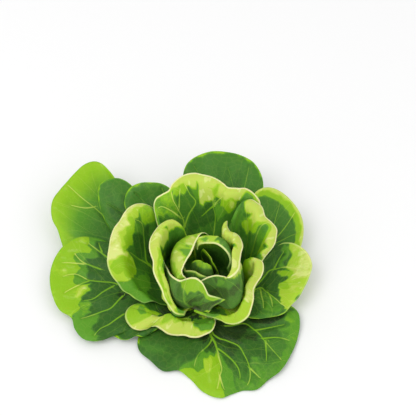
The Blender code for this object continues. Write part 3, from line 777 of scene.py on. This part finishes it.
         (0.56, [(66, 97), (55, 92), (49, 84), (46, 76), (46, 71), (36, 72), (44, 65), (52, 69), (53, 83),
             (62, 86)]),
         (0.89, [(66, 104), (5, 104), (-11, 98), (-25, 98), (-33, 104), (-36, 94), (-26, 79), (-10, 66),
             (2, 61), (13, 60), (17, 67), (20, 74), (30, 73), (39, 72), (42, 76), (47, 84), (54, 90)]),
         (1.01, [(52, 104), (15, 104), (9, 95), (11, 87), (21, 78), (28, 77), (31, 85), (40, 91)]),
         (0.72, [(41, 61), (34, 71), (23, 74), (16, 72), (27, 61), (36, 58)]),
         (0.74, [(15, 60), (16, 67), (-3, 80), (-4, 74), (0, 64)])]},
]
wrapperLeaves = [
    {"name": "wrapper_front", "azimuth": 230, "foot": 11.5, "spread": 30,
     "rim": [(-36, -2, 12), (-49, -2, 12), (-60, -3, 14), (-69, -5, 16), (-74, -10, 16), (-76, -17, 15),
         (-74, -24, 14), (-69, -29, 12), (-64, -31, 12), (-57, -30, 12), (-52, -28, 13), (-47, -28, 13),
         (-42, -31, 12), (-36, -35, 11), (-29, -36, 10), (-21, -36, 10), (-15, -38, 10), (-8, -38, 10),
         (-2, -36, 11), (4, -33, 12), (7, -28, 13), (8, -22, 14)],
     "profile": [(0.3, (0.5, 0.4, 0.36, 0.33, 0.3), 0.5, 0, (0, 0, 1, 0, 0)),
         (0.6, (0.7, 0.6, 0.52, 0.46, 0.4), 1, 0, (0, 1, 5, 2, 0)),
         (0.82, (0.85, 0.76, 0.66, 0.58, 0.5), 1, 0, (0, 3, 9, 7, 1))],
     "fade": [(0, 0), (0.35, 0.05), (0.6, 0.2), (0.8, 0.4), (1, 0.56)],
     "pale": 2, "lime": 3, "cream": (0.2, 0.3, 0.7, 0.9, 0.9), "veinShow": 0.4,
     "patchesAndShade": [
         (0.74, [(-50, 104), (-50, 88), (-36, 70), (-38, 46), (22, 82), (12, 15), (53, 30), (51, 93),
             (19, 104)]),
         (0.93, [(-24, 104), (-21, 93), (-21, 83), (-26, 53), (15, 93), (20, 93), (21, 86), (28, 87),
             (36, 86), (28, 41), (31, 26), (56, 86), (64, 90), (79, 98), (88, 104)]),
         (0.56, [(32, 12), (100, 17), (93, 88), (85, 95), (72, 93), (63, 86), (50, 31)]),
         (0.6, [(-46, 89), (-40, 77), (-28, 78), (-30, 87), (-39, 90)])]},
    {"name": "wrapper_left", "azimuth": 164, "foot": 14.2, "spread": 24,
     "rim": [(-34, 68, 34), (-44, 72, 50), (-52, 74, 62), (-60, 72, 71), (-67, 70, 74), (-73, 66, 74),
         (-78, 59, 73), (-82, 52, 70), (-87, 45, 67), (-90, 36, 64), (-91, 29, 61), (-92, 23, 57),
         (-92, 16, 53), (-90, 10, 48), (-87, 6, 43), (-83, 3, 38), (-79, -1, 34), (-72, -3, 30),
         (-67, -6, 27), (-58, -10, 25)],
     "profile": [(0.3, (0.6, 0.42, 0.42), (0.2, 0.06, 0.06)), (0.6, (0.84, 0.66, 0.66), (0.72, 0.5, 0.5)),
         (0.84, (0.92, 0.82, 0.82), (0.9, 0.96, 1), 0, (0, 3, 1))],
     "fade": [(0, 0.1), (0.2, 0.2), (0.4, 0.3), (0.75, 0.42), (1, 0.56)],
     "pale": (1.5, 1.5, 1.5, 0.8, 0), "lime": (3, 3, 3, 2, 0.3), "cream": (0.8, 0.8, 0.75, 0.4, 0.1),
     "veins": [[(0, 0), (-6, 25), (-11, 44), (-7, 53), (-19, 62), (-28, 74), (-22, 83)],
         [(-11, 44), (-6, 50), (4, 61), (15, 75)]],
     "patchesAndShade": [
         (0.68, [(-37, 94), (-57, 104), (-54, 104), (-53, 74), (-46, 71), (-33, 72), (-29, 78), (-32, 84)]),
         (0.5, [(-14, 83), (-27, 78), (-29, 72), (-22, 68), (-9, 79)]),
         # painted shade: the dark patches down in the hollow of the cup
         (0.2, [(-9, 79), (-22, 68), (-4, 57), (5, 64), (4, 71)]),
         (0.16, [(-32, 72), (-41, 70), (-33, 59), (-18, 46), (-6, 52), (-22, 61)]),
         (0.5, [(-39, 70), (-53, 74), (-36, 61), (-21, 45), (-33, 59)]),
         (0.55, [(58, 104), (58, 86), (38, 64), (24, 57), (11, 50), (12, 43), (23, 41), (39, 41), (81, 65),
             (96, 93), (97, 104), (87, 97), (74, 96), (69, 104)]),
         (0.25, [(-2, 48), (-5, 38), (17, 29), (85, 38), (47, 38), (19, 41)]),
         (0.85, [(-40, 104), (-36, 89), (-29, 84), (-23, 85), (-16, 83), (-9, 80), (-1, 74), (12, 80),
             (20, 81), (17, 72), (22, 66), (27, 63), (45, 70), (61, 87), (61, 104)]),
         (0.72, [(-17, 93), (-22, 87), (-19, 83), (-9, 80), (-1, 74), (12, 80), (20, 81), (19, 75),
             (26, 77), (25, 85), (12, 83), (6, 86), (-4, 86), (-12, 87)]),
         (0.72, [(36, 94), (26, 78), (23, 72), (24, 69), (38, 78), (47, 85), (51, 95), (44, 98)]),
         (0.76, [(45, 85), (31, 75), (22, 66), (27, 63), (43, 69), (58, 86), (53, 87)]),
         (1.02, [(-57, 104), (-38, 91), (-31, 94), (-26, 94), (-20, 93), (-15, 92), (-12, 87), (-4, 88),
             (2, 93), (12, 90), (18, 87), (24, 84), (19, 78), (25, 79), (34, 93), (36, 104)])]},
    {"name": "wrapper_back", "azimuth": 96, "foot": 16, "spread": 28,
     "rim": [(36, 49, 26), (44, 60, 42), (48, 67, 62), (50, 70, 76), (44, 73, 85), (36, 76, 89),
         (29, 74, 91), (20, 74, 92), (16, 78, 93), (11, 82, 94), (4, 85, 95), (-4, 87, 96), (-11, 89, 96),
         (-20, 88, 95), (-27, 85, 93), (-33, 80, 90), (-36, 75, 87), (-42, 73, 84), (-48, 72, 80),
         (-51, 68, 75), (-49, 58, 70), (-45, 48, 60)],
     "profile": [(0.3, 0.42, 0.06), (0.6, 0.66, 0.48), (0.84, 0.85, 0.9, 0, 2)],
     "fade": [(0, 0.1), (0.35, 0.25), (0.55, 0.36), (0.8, 0.44), (1, 0.55)],
     "pale": 2, "lime": 3, "cream": (0, 0.9, 1, 1, 0.8), "tip": 0.05,
     "veins": [[(0, 0), (25, 30), (46, 56), (44, 64), (49, 74), (54, 84), (53, 93)], [(47, 75), (42, 86)],
         [(44, 60), (36, 66), (26, 73), (32, 79), (36, 88)], [(48, 68), (63, 81), (72, 88)],
         [(0, 10), (0, 40), (1, 66), (5, 73), (6, 80)], [(5, 73), (18, 65)], [(5, 73), (-6, 84)]],
     "patchesAndShade": [
         (0.66, [(77, 104), (67, 98), (54, 97), (51, 88), (51, 81), (46, 74), (52, 72), (61, 74), (72, 77),
             (91, 98), (94, 104)]),
         (0.58, [(31, 81), (24, 87), (22, 79), (24, 75), (26, 72), (28, 77)]),
         (0.42, [(44, 81), (36, 83), (29, 80), (26, 76), (24, 72), (26, 68), (35, 65), (41, 63), (45, 71)]),
         # painted shade: the darker patches down in the cup, below the pale rim
         (0.3, [(38, 62), (32, 66), (25, 70), (22, 74), (16, 72), (6, 77), (2, 70), (-3, 65), (15, 58),
             (33, 52), (41, 55)]),
         (0.22, [(14, 67), (4, 72), (0, 65), (18, 58), (31, 56)]),
         (0.44, [(34, 53), (18, 58), (3, 63), (-11, 65), (-11, 58), (-3, 54), (18, 53)]),
         (0.56, [(5, 75), (-6, 79), (-13, 75), (-10, 70), (-4, 65), (3, 68)]),
         (0.95, [(75, 104), (67, 98), (58, 97), (51, 95), (45, 90), (37, 86), (32, 85), (29, 82), (26, 83),
             (24, 88), (22, 84), (22, 79), (21, 73), (16, 72), (13, 75), (6, 77), (3, 81), (-5, 82),
             (-16, 84), (-25, 83), (-30, 104), (-44, 104)]),
         (0.74, [(49, 94), (42, 88), (37, 89), (34, 84), (36, 82), (40, 80), (49, 84), (52, 90)]),
         (0.78, [(14, 85), (8, 85), (5, 79), (1, 86), (-1, 93), (3, 92), (7, 86)]),
         (0.75, [(-5, 83), (-15, 85), (-22, 82), (-22, 76), (-14, 74), (-9, 78), (-3, 77)]),
         (0.97, [(-13, 80), (-14, 83), (-17, 83), (-20, 80), (-18, 78), (-15, 78)])]},
    {"name": "wrapper_right", "azimuth": 39, "foot": 18.5, "spread": 21,
     "rim": [(47, 14, 24), (49, 18, 35), (50, 21, 45), (53, 23, 52), (58, 26, 58), (63, 31, 62),
         (65, 37, 66), (65, 42, 70), (60, 47, 74), (54, 51, 78), (51, 59, 82), (46, 62, 85), (41, 65, 86),
         (35, 63, 86), (30, 56, 82), (25, 51, 74), (22, 48, 62)],
     "profile": [(0.3, (0.55, 0.42, 0.42), 0.1), (0.6, (0.78, 0.66, 0.66), 0.5), (0.84, 0.82, 0.96, 0, 3)],
     "fade": [(0, 0.1), (0.35, 0.25), (0.55, 0.36), (0.8, 0.44), (1, 0.55)],
     "pale": 1.5, "lime": 3, "cream": 1, "veinShow": 0.55,
     "patchesAndShade": [
         (0.5, [(88, 104), (66, 85), (49, 85), (39, 83), (42, 79), (37, 76), (42, 70), (53, 65), (77, 75)]),
         (0.76, [(45, 73), (22, 78), (7, 90), (1, 98), (-11, 91), (-17, 83), (-18, 74), (-43, 86),
             (-59, 97), (-5, 55), (-8, 65), (-9, 75), (3, 82), (8, 74), (30, 67), (38, 69)]),
         (0.97, [(48, 91), (38, 104), (-59, 104), (-45, 86), (-37, 90), (-17, 75), (-17, 83), (-11, 91),
             (1, 96), (6, 89), (22, 78), (35, 76), (29, 83), (37, 80)]),
         (0.5, [(7, 82), (-1, 90), (-8, 87), (-11, 79), (-8, 68), (-11, 57), (-1, 54), (-2, 67), (2, 75),
             (7, 77)])]},
    {"name": "wrapper_front_right", "azimuth": 320, "foot": 19.5, "spread": 42,
     "rim": [(-12, -18, 24), (-4, -22, 23), (4, -24, 22), (12, -27, 22), (18, -30, 21), (25, -31, 21),
         (31, -31, 24), (38, -27, 28), (41, -21, 33), (43, -14, 38), (43, -7, 42), (46, -2, 46),
         (50, 3, 50), (52, 9, 54), (51, 14, 57), (46, 16, 59), (41, 18, 55), (38, 19, 47)],
     "profile": [(0.3, (0.4, 0.6, 0.72, 0.74, 0.7), (0.08, 0.08, 0.08, 0.12, 0.3)),
         (0.6, (0.6, 0.66, 0.76, 0.8, 0.74), (0.6, 0.6, 0.6, 0.68, 0.92), 0, (0, 2, 0)),
         (0.82, (0.82, 0.66, 0.75, 0.8, 0.84), 1, 0, (1, 4, 2))],
     "fade": [(0, 0.2), (0.35, 0.42), (0.6, 0.6), (0.8, 0.66), (1, 0.72)],
     "pale": (0, 1.5, 9, 10, 6), "lime": (0.5, 2.5, 9, 12, 12), "cream": (0, 0.35, 1, 1, 0.7),
     "veinShow": 0.45, "tip": 0.2,
     "patchesAndShade": [
         (0.35, [(-97, 21), (-2, 1), (85, 30), (89, 43), (84, 33), (59, 17), (1, 7), (-91, 25)]),
         (0.5, [(-97, 21), (-4, 0), (1, 6), (33, 18), (30, 18), (1, 17), (-19, 10), (-59, 87), (-78, 104)]),
         (0.7, [(1, 5), (27, 19), (47, 17), (30, 20), (11, 17), (-33, 83), (-44, 84), (-19, 10)]),
         (0.76, [(88, 75), (83, 104), (76, 86), (75, 74), (75, 61), (79, 45), (24, 83), (16, 82), (3, 83),
             (40, 18), (30, 18), (33, 18), (72, 19), (83, 27), (88, 40), (92, 49), (93, 66)]),
         (0.5, [(61, 17), (72, 19), (61, 17), (33, 18), (27, 19)]),
         (0.86, [(35, 19), (-2, 86), (5, 95), (7, 104), (-56, 104), (-54, 82), (-19, 10), (-44, 84),
             (-33, 83), (11, 17)]),
         (1, [(76, 74), (77, 104), (48, 104), (56, 42), (13, 104), (5, 104), (5, 95), (3, 83), (16, 82),
             (24, 83), (79, 45), (75, 61)])]},
]
heartLeaves = [
    {"name": "inner_left", "azimuth": 175, "foot": 24, "spread": 42,
     "rim": [(-17, 39, 50), (-21, 38.5, 66), (-25, 36, 80), (-30, 36, 86), (-35.5, 36.5, 89),
         (-41.5, 32, 90), (-47.5, 24.5, 89), (-51.5, 16, 87), (-52, 9, 84), (-50.5, 4, 80),
         (-48.5, -0.5, 76), (-48.5, -6.5, 70), (-46, -11, 64), (-41.5, -16, 56), (-39, -20.5, 48),
         (-34.5, -24.5, 40), (-29, -28, 34), (-21, -26.5, 30)],
     "profile": [(0.3, (0.9, 0.75, 0.84), (0.14, 0.06, 0.06)), (0.6, (0.95, 0.77, 0.9), 0.5),
         (0.82, (0.95, 0.76, 0.88), 1, 0, 3)],
     "fade": [(0, 0.2), (0.35, 0.26), (0.6, 0.38), (0.85, 0.5), (1, 0.66)],
     "pale": (6, 8, 9, 6, 0.5), "lime": 3, "cream": (1, 1, 1, 1, 0.2), "veinShow": 0.4,
     "patchesAndShade": [
         (0.66, [(-50, 12), (50, 12), (62, 50), (30, 74), (-10, 66), (-35, 62)]),
         (0.34, [(-29, 76), (-50, 79), (-63, 75), (-46, 64), (-37, 53), (-28, 50), (-25, 58), (-27, 66)]),
         (0.42, [(-31, 76), (-50, 79), (-63, 80), (-50, 71), (-39, 66), (-30, 65)]),
         (0.95, [(-43, 104), (-57, 86), (-42, 77), (-31, 78), (-31, 71), (-18, 70), (8, 84), (17, 88),
             (34, 90), (46, 92), (66, 91), (86, 89), (73, 40), (33, 39), (36, 104)]),
         (0.76, [(4, 87), (5, 81), (22, 89), (38, 90), (52, 92), (76, 104), (75, 92), (54, 98), (39, 95),
             (23, 92), (13, 90)]),
         (0.55, [(-24, 85), (-30, 85), (-31, 78)]),
         (0.5, [(78, 20), (84, 80), (90, 93), (100, 96), (100, 20)])]},
    {"name": "heart_front", "azimuth": 236, "foot": 26, "spread": 28,
     "rim": [(-39.5, 14, 60), (-38.5, 6, 64), (-36, -0.5, 67), (-33.5, -6.5, 67), (-28.5, -12.5, 68),
         (-23.5, -15, 68), (-18, -11.5, 66), (-13.5, -11, 67), (-9, -12, 67), (-4.5, -15, 65),
         (-1.5, -18.5, 61), (1.5, -22.5, 57), (7.5, -23, 54), (12.5, -23, 51.5), (16.5, -23, 49)],
     "swing": (2.5, 2.5, 2, 1, 0.6),
     "profile": [(0.3, (0.74, 0.74, 0.74, 0.7, 0.66), (0.08, 0.08, 0.1, 0.16, 0.22), (-3, 2, 4, 4, 1.5), 0),
         (0.65, (1, 1, 1, 0.9, 0.75), (0.56, 0.56, 0.56, 0.56, 0.57), (-1, 3, 7, 3, 0), 0)],
     "fade": [(0, 0.15), (0.25, 0.12), (0.5, 0.18), (0.8, 0.26), (1, 0.32)],
     "pale": 0.5, "lime": (1, 1, 2, 5, 5), "cream": (1, 1, 1, 0.9, 0), "veinShow": 0.35,
     "patchesAndShade": [
         (0.3, [(-98, 104), (-28, 104), (-8, 80), (-2, 60), (-8, 40), (-26, 40), (-32, 66), (-65, 79)]),
         (0.42, [(3, 66), (10, 58), (19, 72), (28, 76), (24, 65), (10, 48), (-1, 32), (-8, 40)]),
         (0.44, [(30, 72), (56, 86), (84, 93), (79, 76), (55, 68), (21, 28), (10, 33), (30, 59)]),
         (0.52, [(-20, 104), (-9, 104), (5, 79), (6, 61), (2, 39), (-6, 42), (1, 62), (-6, 82)]),
         # painted shade: the dark bands down its left edge, in the crevice against the leaf outside it, and
         # under its right part
         (0.1, [(52, 61), (77, 85), (92, 104), (99, 91), (99, 50), (66, 31), (34, 28)]),
         (0.08, [(-72, 94), (-46, 84), (-22, 74), (-10, 46), (-3, 33), (-17, 31), (-24, 49), (-33, 70),
             (-65, 79)]),
         (0.1, [(1, 46), (24, 59), (53, 80), (35, 52), (4, 34)]),
         (0.75, [(-26, 104), (97, 104), (82, 87), (61, 85), (41, 80), (28, 78), (21, 69), (15, 71),
             (10, 63), (5, 70), (1, 76), (-13, 90)])]},
    {"name": "inner_right", "azimuth": 328, "foot": 29.5, "spread": 48,
     "rim": [(-10, -12, 58), (-4.5, -12, 64), (1, -11.5, 68), (8, -11.5, 71), (15, -14.5, 73),
         (19.5, -18, 75), (24, -16.5, 77), (28.5, -10.5, 78), (29.5, -3.5, 80), (30.5, 4, 82),
         (32.5, 11.5, 84), (30.5, 18, 86), (26.5, 23, 87), (21, 25.5, 87), (18.5, 31.5, 86),
         (18.5, 40.5, 84), (18.5, 42, 76)],
     "profile": [(0.3, (0.9, 0.9, 0.5), 0.06, (1, 3, 4, 2, 0), 0),
         (0.6, (0.86, 0.86, 0.86, 0.7, 0.55), 0.5, (1, 2.5, 4, 2, 0), 0),
         (0.82, (0.9, 0.85, 0.62, 0.66, 0.7), (0.82, 0.86, 1, 1, 1), 0, (0, 0, 3, 2.5, 2))],
     "fade": [(0, 0.2), (0.35, 0.22), (0.6, 0.32), (0.85, 0.4), (1, 0.5)],
     "pale": (1, 2, 6, 6, 3), "lime": (1, 2, 2, 2, 2), "cream": 1, "veinShow": 0.35,
     "patchesAndShade": [
         (0.3, [(-86, 104), (-65, 95), (-38, 82), (-23, 68), (2, 63), (21, 58), (19, 39), (-27, 39),
             (-54, 20), (-75, 55)]),
         (0.45, [(-68, 97), (-38, 79), (-21, 67), (2, 58), (2, 53), (-20, 62), (-37, 71), (-51, 63),
             (-65, 73)]),
         # painted shade: dark where the front heart leaf lies over it
         (0.1, [(-73, 56), (-61, 67), (-24, 67), (-5, 61), (-17, 56), (-33, 55), (-53, 47), (-66, 48)]),
         (0.1, [(-65, 95), (-55, 78), (-39, 78), (-56, 71), (-63, 76)]),
         (0.55, [(-57, 80), (-39, 78), (-50, 71), (-62, 69)]),
         (0.97, [(89, 72), (86, 104), (85, 104), (86, 104), (17, 104), (25, 64), (18, 60), (-21, 72),
             (-38, 84), (-49, 104), (-27, 104), (-10, 83), (3, 104), (49, 70), (53, 74), (76, 73)]),
         (1.02, [(-7, 93), (25, 64), (18, 60), (-18, 71), (-30, 93)])]},
    {"name": "heart_left", "azimuth": 152, "foot": 32, "spread": 40,
     "rim": [(3.5, 31.5, 70), (1, 29.5, 77), (-3.5, 28, 82), (-7, 23, 84), (-10, 16, 84), (-12, 9, 84),
         (-14.5, 3, 83), (-18, -3, 82), (-20.5, -7, 80), (-22, -11, 78), (-21.5, -11.5, 72),
         (-19, -10.5, 66)],
     "profile": [(0.3, 0.8, 0.06, (5, 10.5, 18.5, 7.5, 0), 0), (0.6, 1, 0.45, (5, 11, 22.5, 8.3, -1), 0),
         (0.84, 1, 0.84, (3, 7, 19, 7, -1), 0)],
     "fade": [(0, 0.25), (0.3, 0.5), (0.42, 0.74), (1, 0.78)],
     "pale": 0.5, "lime": 4, "cream": 1, "veinShow": 0.3, "laterals": 3,
     "patchesAndShade": [
         (0.95, [(10, 88), (13, 93), (19, 96), (32, 98), (50, 104), (88, 104), (73, 93), (55, 86), (36, 85),
             (26, 81), (18, 81), (13, 84)]),
         (1.02, [(24, 88), (21, 92), (30, 95), (39, 94), (34, 89)]),
         (0.6, [(8, 91), (3, 95), (-5, 97), (5, 104), (28, 104), (35, 98), (23, 96), (14, 94)]),
         (0.82, [(3, 104), (-3, 80), (-8, 104), (-8, 86), (2, 87), (10, 87), (12, 80), (17, 76), (10, 76)]),
         (0.96, [(-12, 91), (-23, 88), (-41, 104), (-58, 104), (-64, 82), (-26, 104), (-14, 104), (-3, 98),
             (-4, 95)])]},
    {"name": "heart_back", "azimuth": 50, "foot": 34.5, "spread": 38,
     "rim": [(18, -4, 70), (20.5, -0.5, 76), (19.5, 3, 80), (16.5, 7, 82), (12.5, 11, 83), (7.5, 13.5, 84),
         (2, 14, 84), (-3.5, 14.5, 83), (-7, 14.5, 81), (-8.5, 14, 75)],
     "profile": [(0.3, 0.9, 0.08, (5, 7, 9, 9, 7), 0), (0.6, 1, 0.55, (4, 7, 9.5, 9.5, 7), 0),
         (0.84, 1, (0.95, 0.97, 1, 1, 0.98), (0.5, 3, 8, 9, 6), 0)],
     "fade": [(0, 0.22), (0.6, 0.32), (0.72, 0.74), (0.85, 0.86), (1, 0.9)],
     "pale": 0.5, "lime": (1, 1.5, 1), "cream": (0, 0.5, 0.8, 0.5, 0), "veinShow": 0.12, "laterals": 3,
     "patchesAndShade": [
         # painted shade: the dark inside of the heart
         (0.34, [(20, 93), (0, 97), (-30, 97), (-60, 98), (-100, 98), (-100, 30), (-40, 30), (-10, 50),
             (10, 80)]),
         (0.6, [(70, 94), (62, 90), (49, 90), (37, 94), (50, 98)])]},
    # painted shade: the tips sit deep in the heart's opening and are painted dark green, with thin pale rims
    {"name": "tip_front", "azimuth": 228, "foot": 37.5, "spread": 38,
     "rim": [(-21, 4, 64), (-20.5, -3.5, 68), (-14.5, -5, 69), (-10, -5.5, 68), (-5.5, -8, 67),
         (-1, -8.5, 65), (1.5, -6.5, 60)],
     "profile": [(0.3, 0.8, 0.1, (-3, -1, 2, 3, 2.6), 0), (0.65, 1, 0.6, (-3, -1, 1, 2.4, 1.8), 0)],
     "fade": [(0, 0.15), (0.6, 0.22), (0.85, 0.3), (1, 0.42)],
     "pale": 0.3, "lime": (1.5, 2, 1.5), "cream": 0.3, "veinShow": 0.3, "laterals": 2,
     "patchesAndShade": [
         (0.8, [(-93, 104), (73, 104), (54, 104), (10, 96), (-32, 104), (-67, 93)])]},
    {"name": "tip_left", "azimuth": 240, "foot": 40.5, "spread": 55,
     "rim": [(-12.5, 5.5, 62), (-13, 3, 71), (-9.5, 2, 75), (-4.5, 0, 76), (0, -2, 76), (3, -2, 73),
         (3.5, 0, 66)],
     "profile": [(0.3, 0.8, 0.12, (2, 3, 5, 4.5, 4), 0), (0.65, 1, 0.6, (2, 2, 3, 3, 2.5), 0)],
     "fade": [(0, 0.15), (0.6, 0.18), (0.85, 0.28), (1, 0.42)],
     "pale": 0.3, "lime": (1, 1.5, 1), "veinShow": 0.2, "laterals": 2,
     "patchesAndShade": [
         (0.68, [(-30, 104), (35, 104), (66, 97), (68, 88), (42, 85), (22, 84), (13, 78), (-13, 83)])]},
    {"name": "tip_right", "azimuth": 52, "foot": 43, "spread": 38,
     "rim": [(10, 1, 60), (7.5, 1, 68), (4.5, 3.5, 72), (2, 9.5, 73), (-1, 14, 73), (-3.5, 17.5, 72),
         (-5.5, 20, 64)],
     "profile": [(0.3, 0.8, 0.12, 1, 0), (0.65, 1, 0.6, 1, 0)],
     "fade": [(0, 0), (0.6, 0.05), (0.82, 0.15), (0.92, 0.66), (1, 0.7)],
     "pale": 0.3, "lime": (2, 4, 4, 2), "veinShow": 0.3, "laterals": 2},
]

leafKinds = {
    "outer": {"columns": 200, "rows": 72, "slot": "outer_leaf", "footShare": 1.0,
              "quilt": 1.5, "wave": 3.5, "frill": 1.8, "frillRate": 0.07},
    "wrapper": {"columns": 180, "rows": 64, "slot": "wrapper_leaf", "footShare": 0.9,
                "quilt": 0.9, "wave": 1.2, "frill": 1.1, "frillRate": 0.09},
    "inner": {"columns": 150, "rows": 56, "slot": "heart_leaf", "footShare": 0.8,
              "quilt": 0.5, "wave": 0.3, "frill": 0.5, "frillRate": 0.1},
    "heart": {"columns": 110, "rows": 46, "slot": "heart_leaf", "footShare": 0.6,
              "quilt": 0.35, "wave": 0.1, "frill": 0.25, "frillRate": 0.12},
    "tip": {"columns": 70, "rows": 30, "slot": "heart_leaf", "footShare": 0.25,
            "quilt": 0.1, "wave": 0.0, "frill": 0.1, "frillRate": 0.12},
}

number = 0
for group, leaves, cell in (
    ("outer", outerLeaves, 6.0),
    ("wrapper", wrapperLeaves, 5.0),
    ("heart", heartLeaves, 3.5),
):
    material = leafMaterial(group + " leaf skin", cell)
    for leaf in leaves:
        number += 1
        makeLeaf({**plainLeaf, **leaf}, leafKinds[leaf["name"].split("_")[0]], number, material)
    print(group, "leaves made:", len(leaves))

stemLook = {
    "flesh": (0.62, 0.68, 0.34),
    "pale": (0.80, 0.82, 0.58),
    "axilShade": (0.03, 0.10, 0.012),
    "shadeFrom": (0.006, 0.02),     # pale at the cut face, dark green between the leaf feet as painted shade
    "spots": 240,
    "roughness": 0.45,
    "bump": 0.4,
    "bumpHeight": 0.0005,
}


def stemMaterial(look):
    material, tree, shader = newMaterial("stem flesh")
    where = addNode(tree, "TexCoord", "Object", {})
    spots = cloudy(tree, where, look["spots"], 4, 0.5)
    flesh = colourRamp(tree, spots, [(0.35, look["flesh"]), (0.65, look["pale"])])
    height = addNode(tree, "SeparateXYZ", "Z", {0: where})
    # painted shade: the stem darkens with height, where it sits between the leaf feet
    upper = between(tree, height, *look["shadeFrom"], curve="LINEAR")
    bump = {"Strength": look["bump"], "Distance": look["bumpHeight"], "Height": spots}
    fill(tree, shader, {
        "Base Color": mix(tree, upper, flesh, look["axilShade"]), "Roughness": look["roughness"],
        "Normal": addNode(tree, "Bump", "Normal", bump),
    })
    return material


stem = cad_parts["stem"]
stem.data.materials.clear()
stem.data.materials.append(stemMaterial(stemLook))
print("stem finished")

studio = {
    "floor": (0.96, 0.96, 0.96),
    "floorSize": 6,
    "floorHeight": -0.0003,
    "sky": 0.75,
    "aim": (0, 0.03, 0.04),
    "lights": {"key": ((-1.2, -0.9, 2.4), 1.8, 27.0), "fill": ((1.6, -1.2, 1.8), 2.2, 9.0)},
}


def makeStudio(values):
    bpy.ops.mesh.primitive_plane_add(size=values["floorSize"], location=(0, 0, values["floorHeight"]))
    floor = bpy.context.object
    floor.name = "floor"
    material, tree, shader = newMaterial("pale floor")
    fill(tree, shader, {"Base Color": values["floor"], "Roughness": 0.9, "Specular IOR Level": 0.1})
    floor.data.materials.append(material)

    world = bpy.data.worlds.new("soft sky")
    world.use_nodes = True
    sky = world.node_tree.nodes["Background"].inputs
    sky["Color"].default_value = (1, 1, 1, 1)
    sky["Strength"].default_value = values["sky"]
    bpy.context.scene.world = world

    for label, (place, size, power) in values["lights"].items():
        lamp = bpy.data.lights.new(label, "AREA")
        lamp.size = size
        lamp.energy = power
        light = addObject(label, lamp)
        light.location = place
        light.rotation_euler = (Vector(place) - Vector(values["aim"])).to_track_quat("Z", "Y").to_euler()


makeStudio(studio)
bpy.context.scene.view_settings.view_transform = "Standard"
print("studio set")
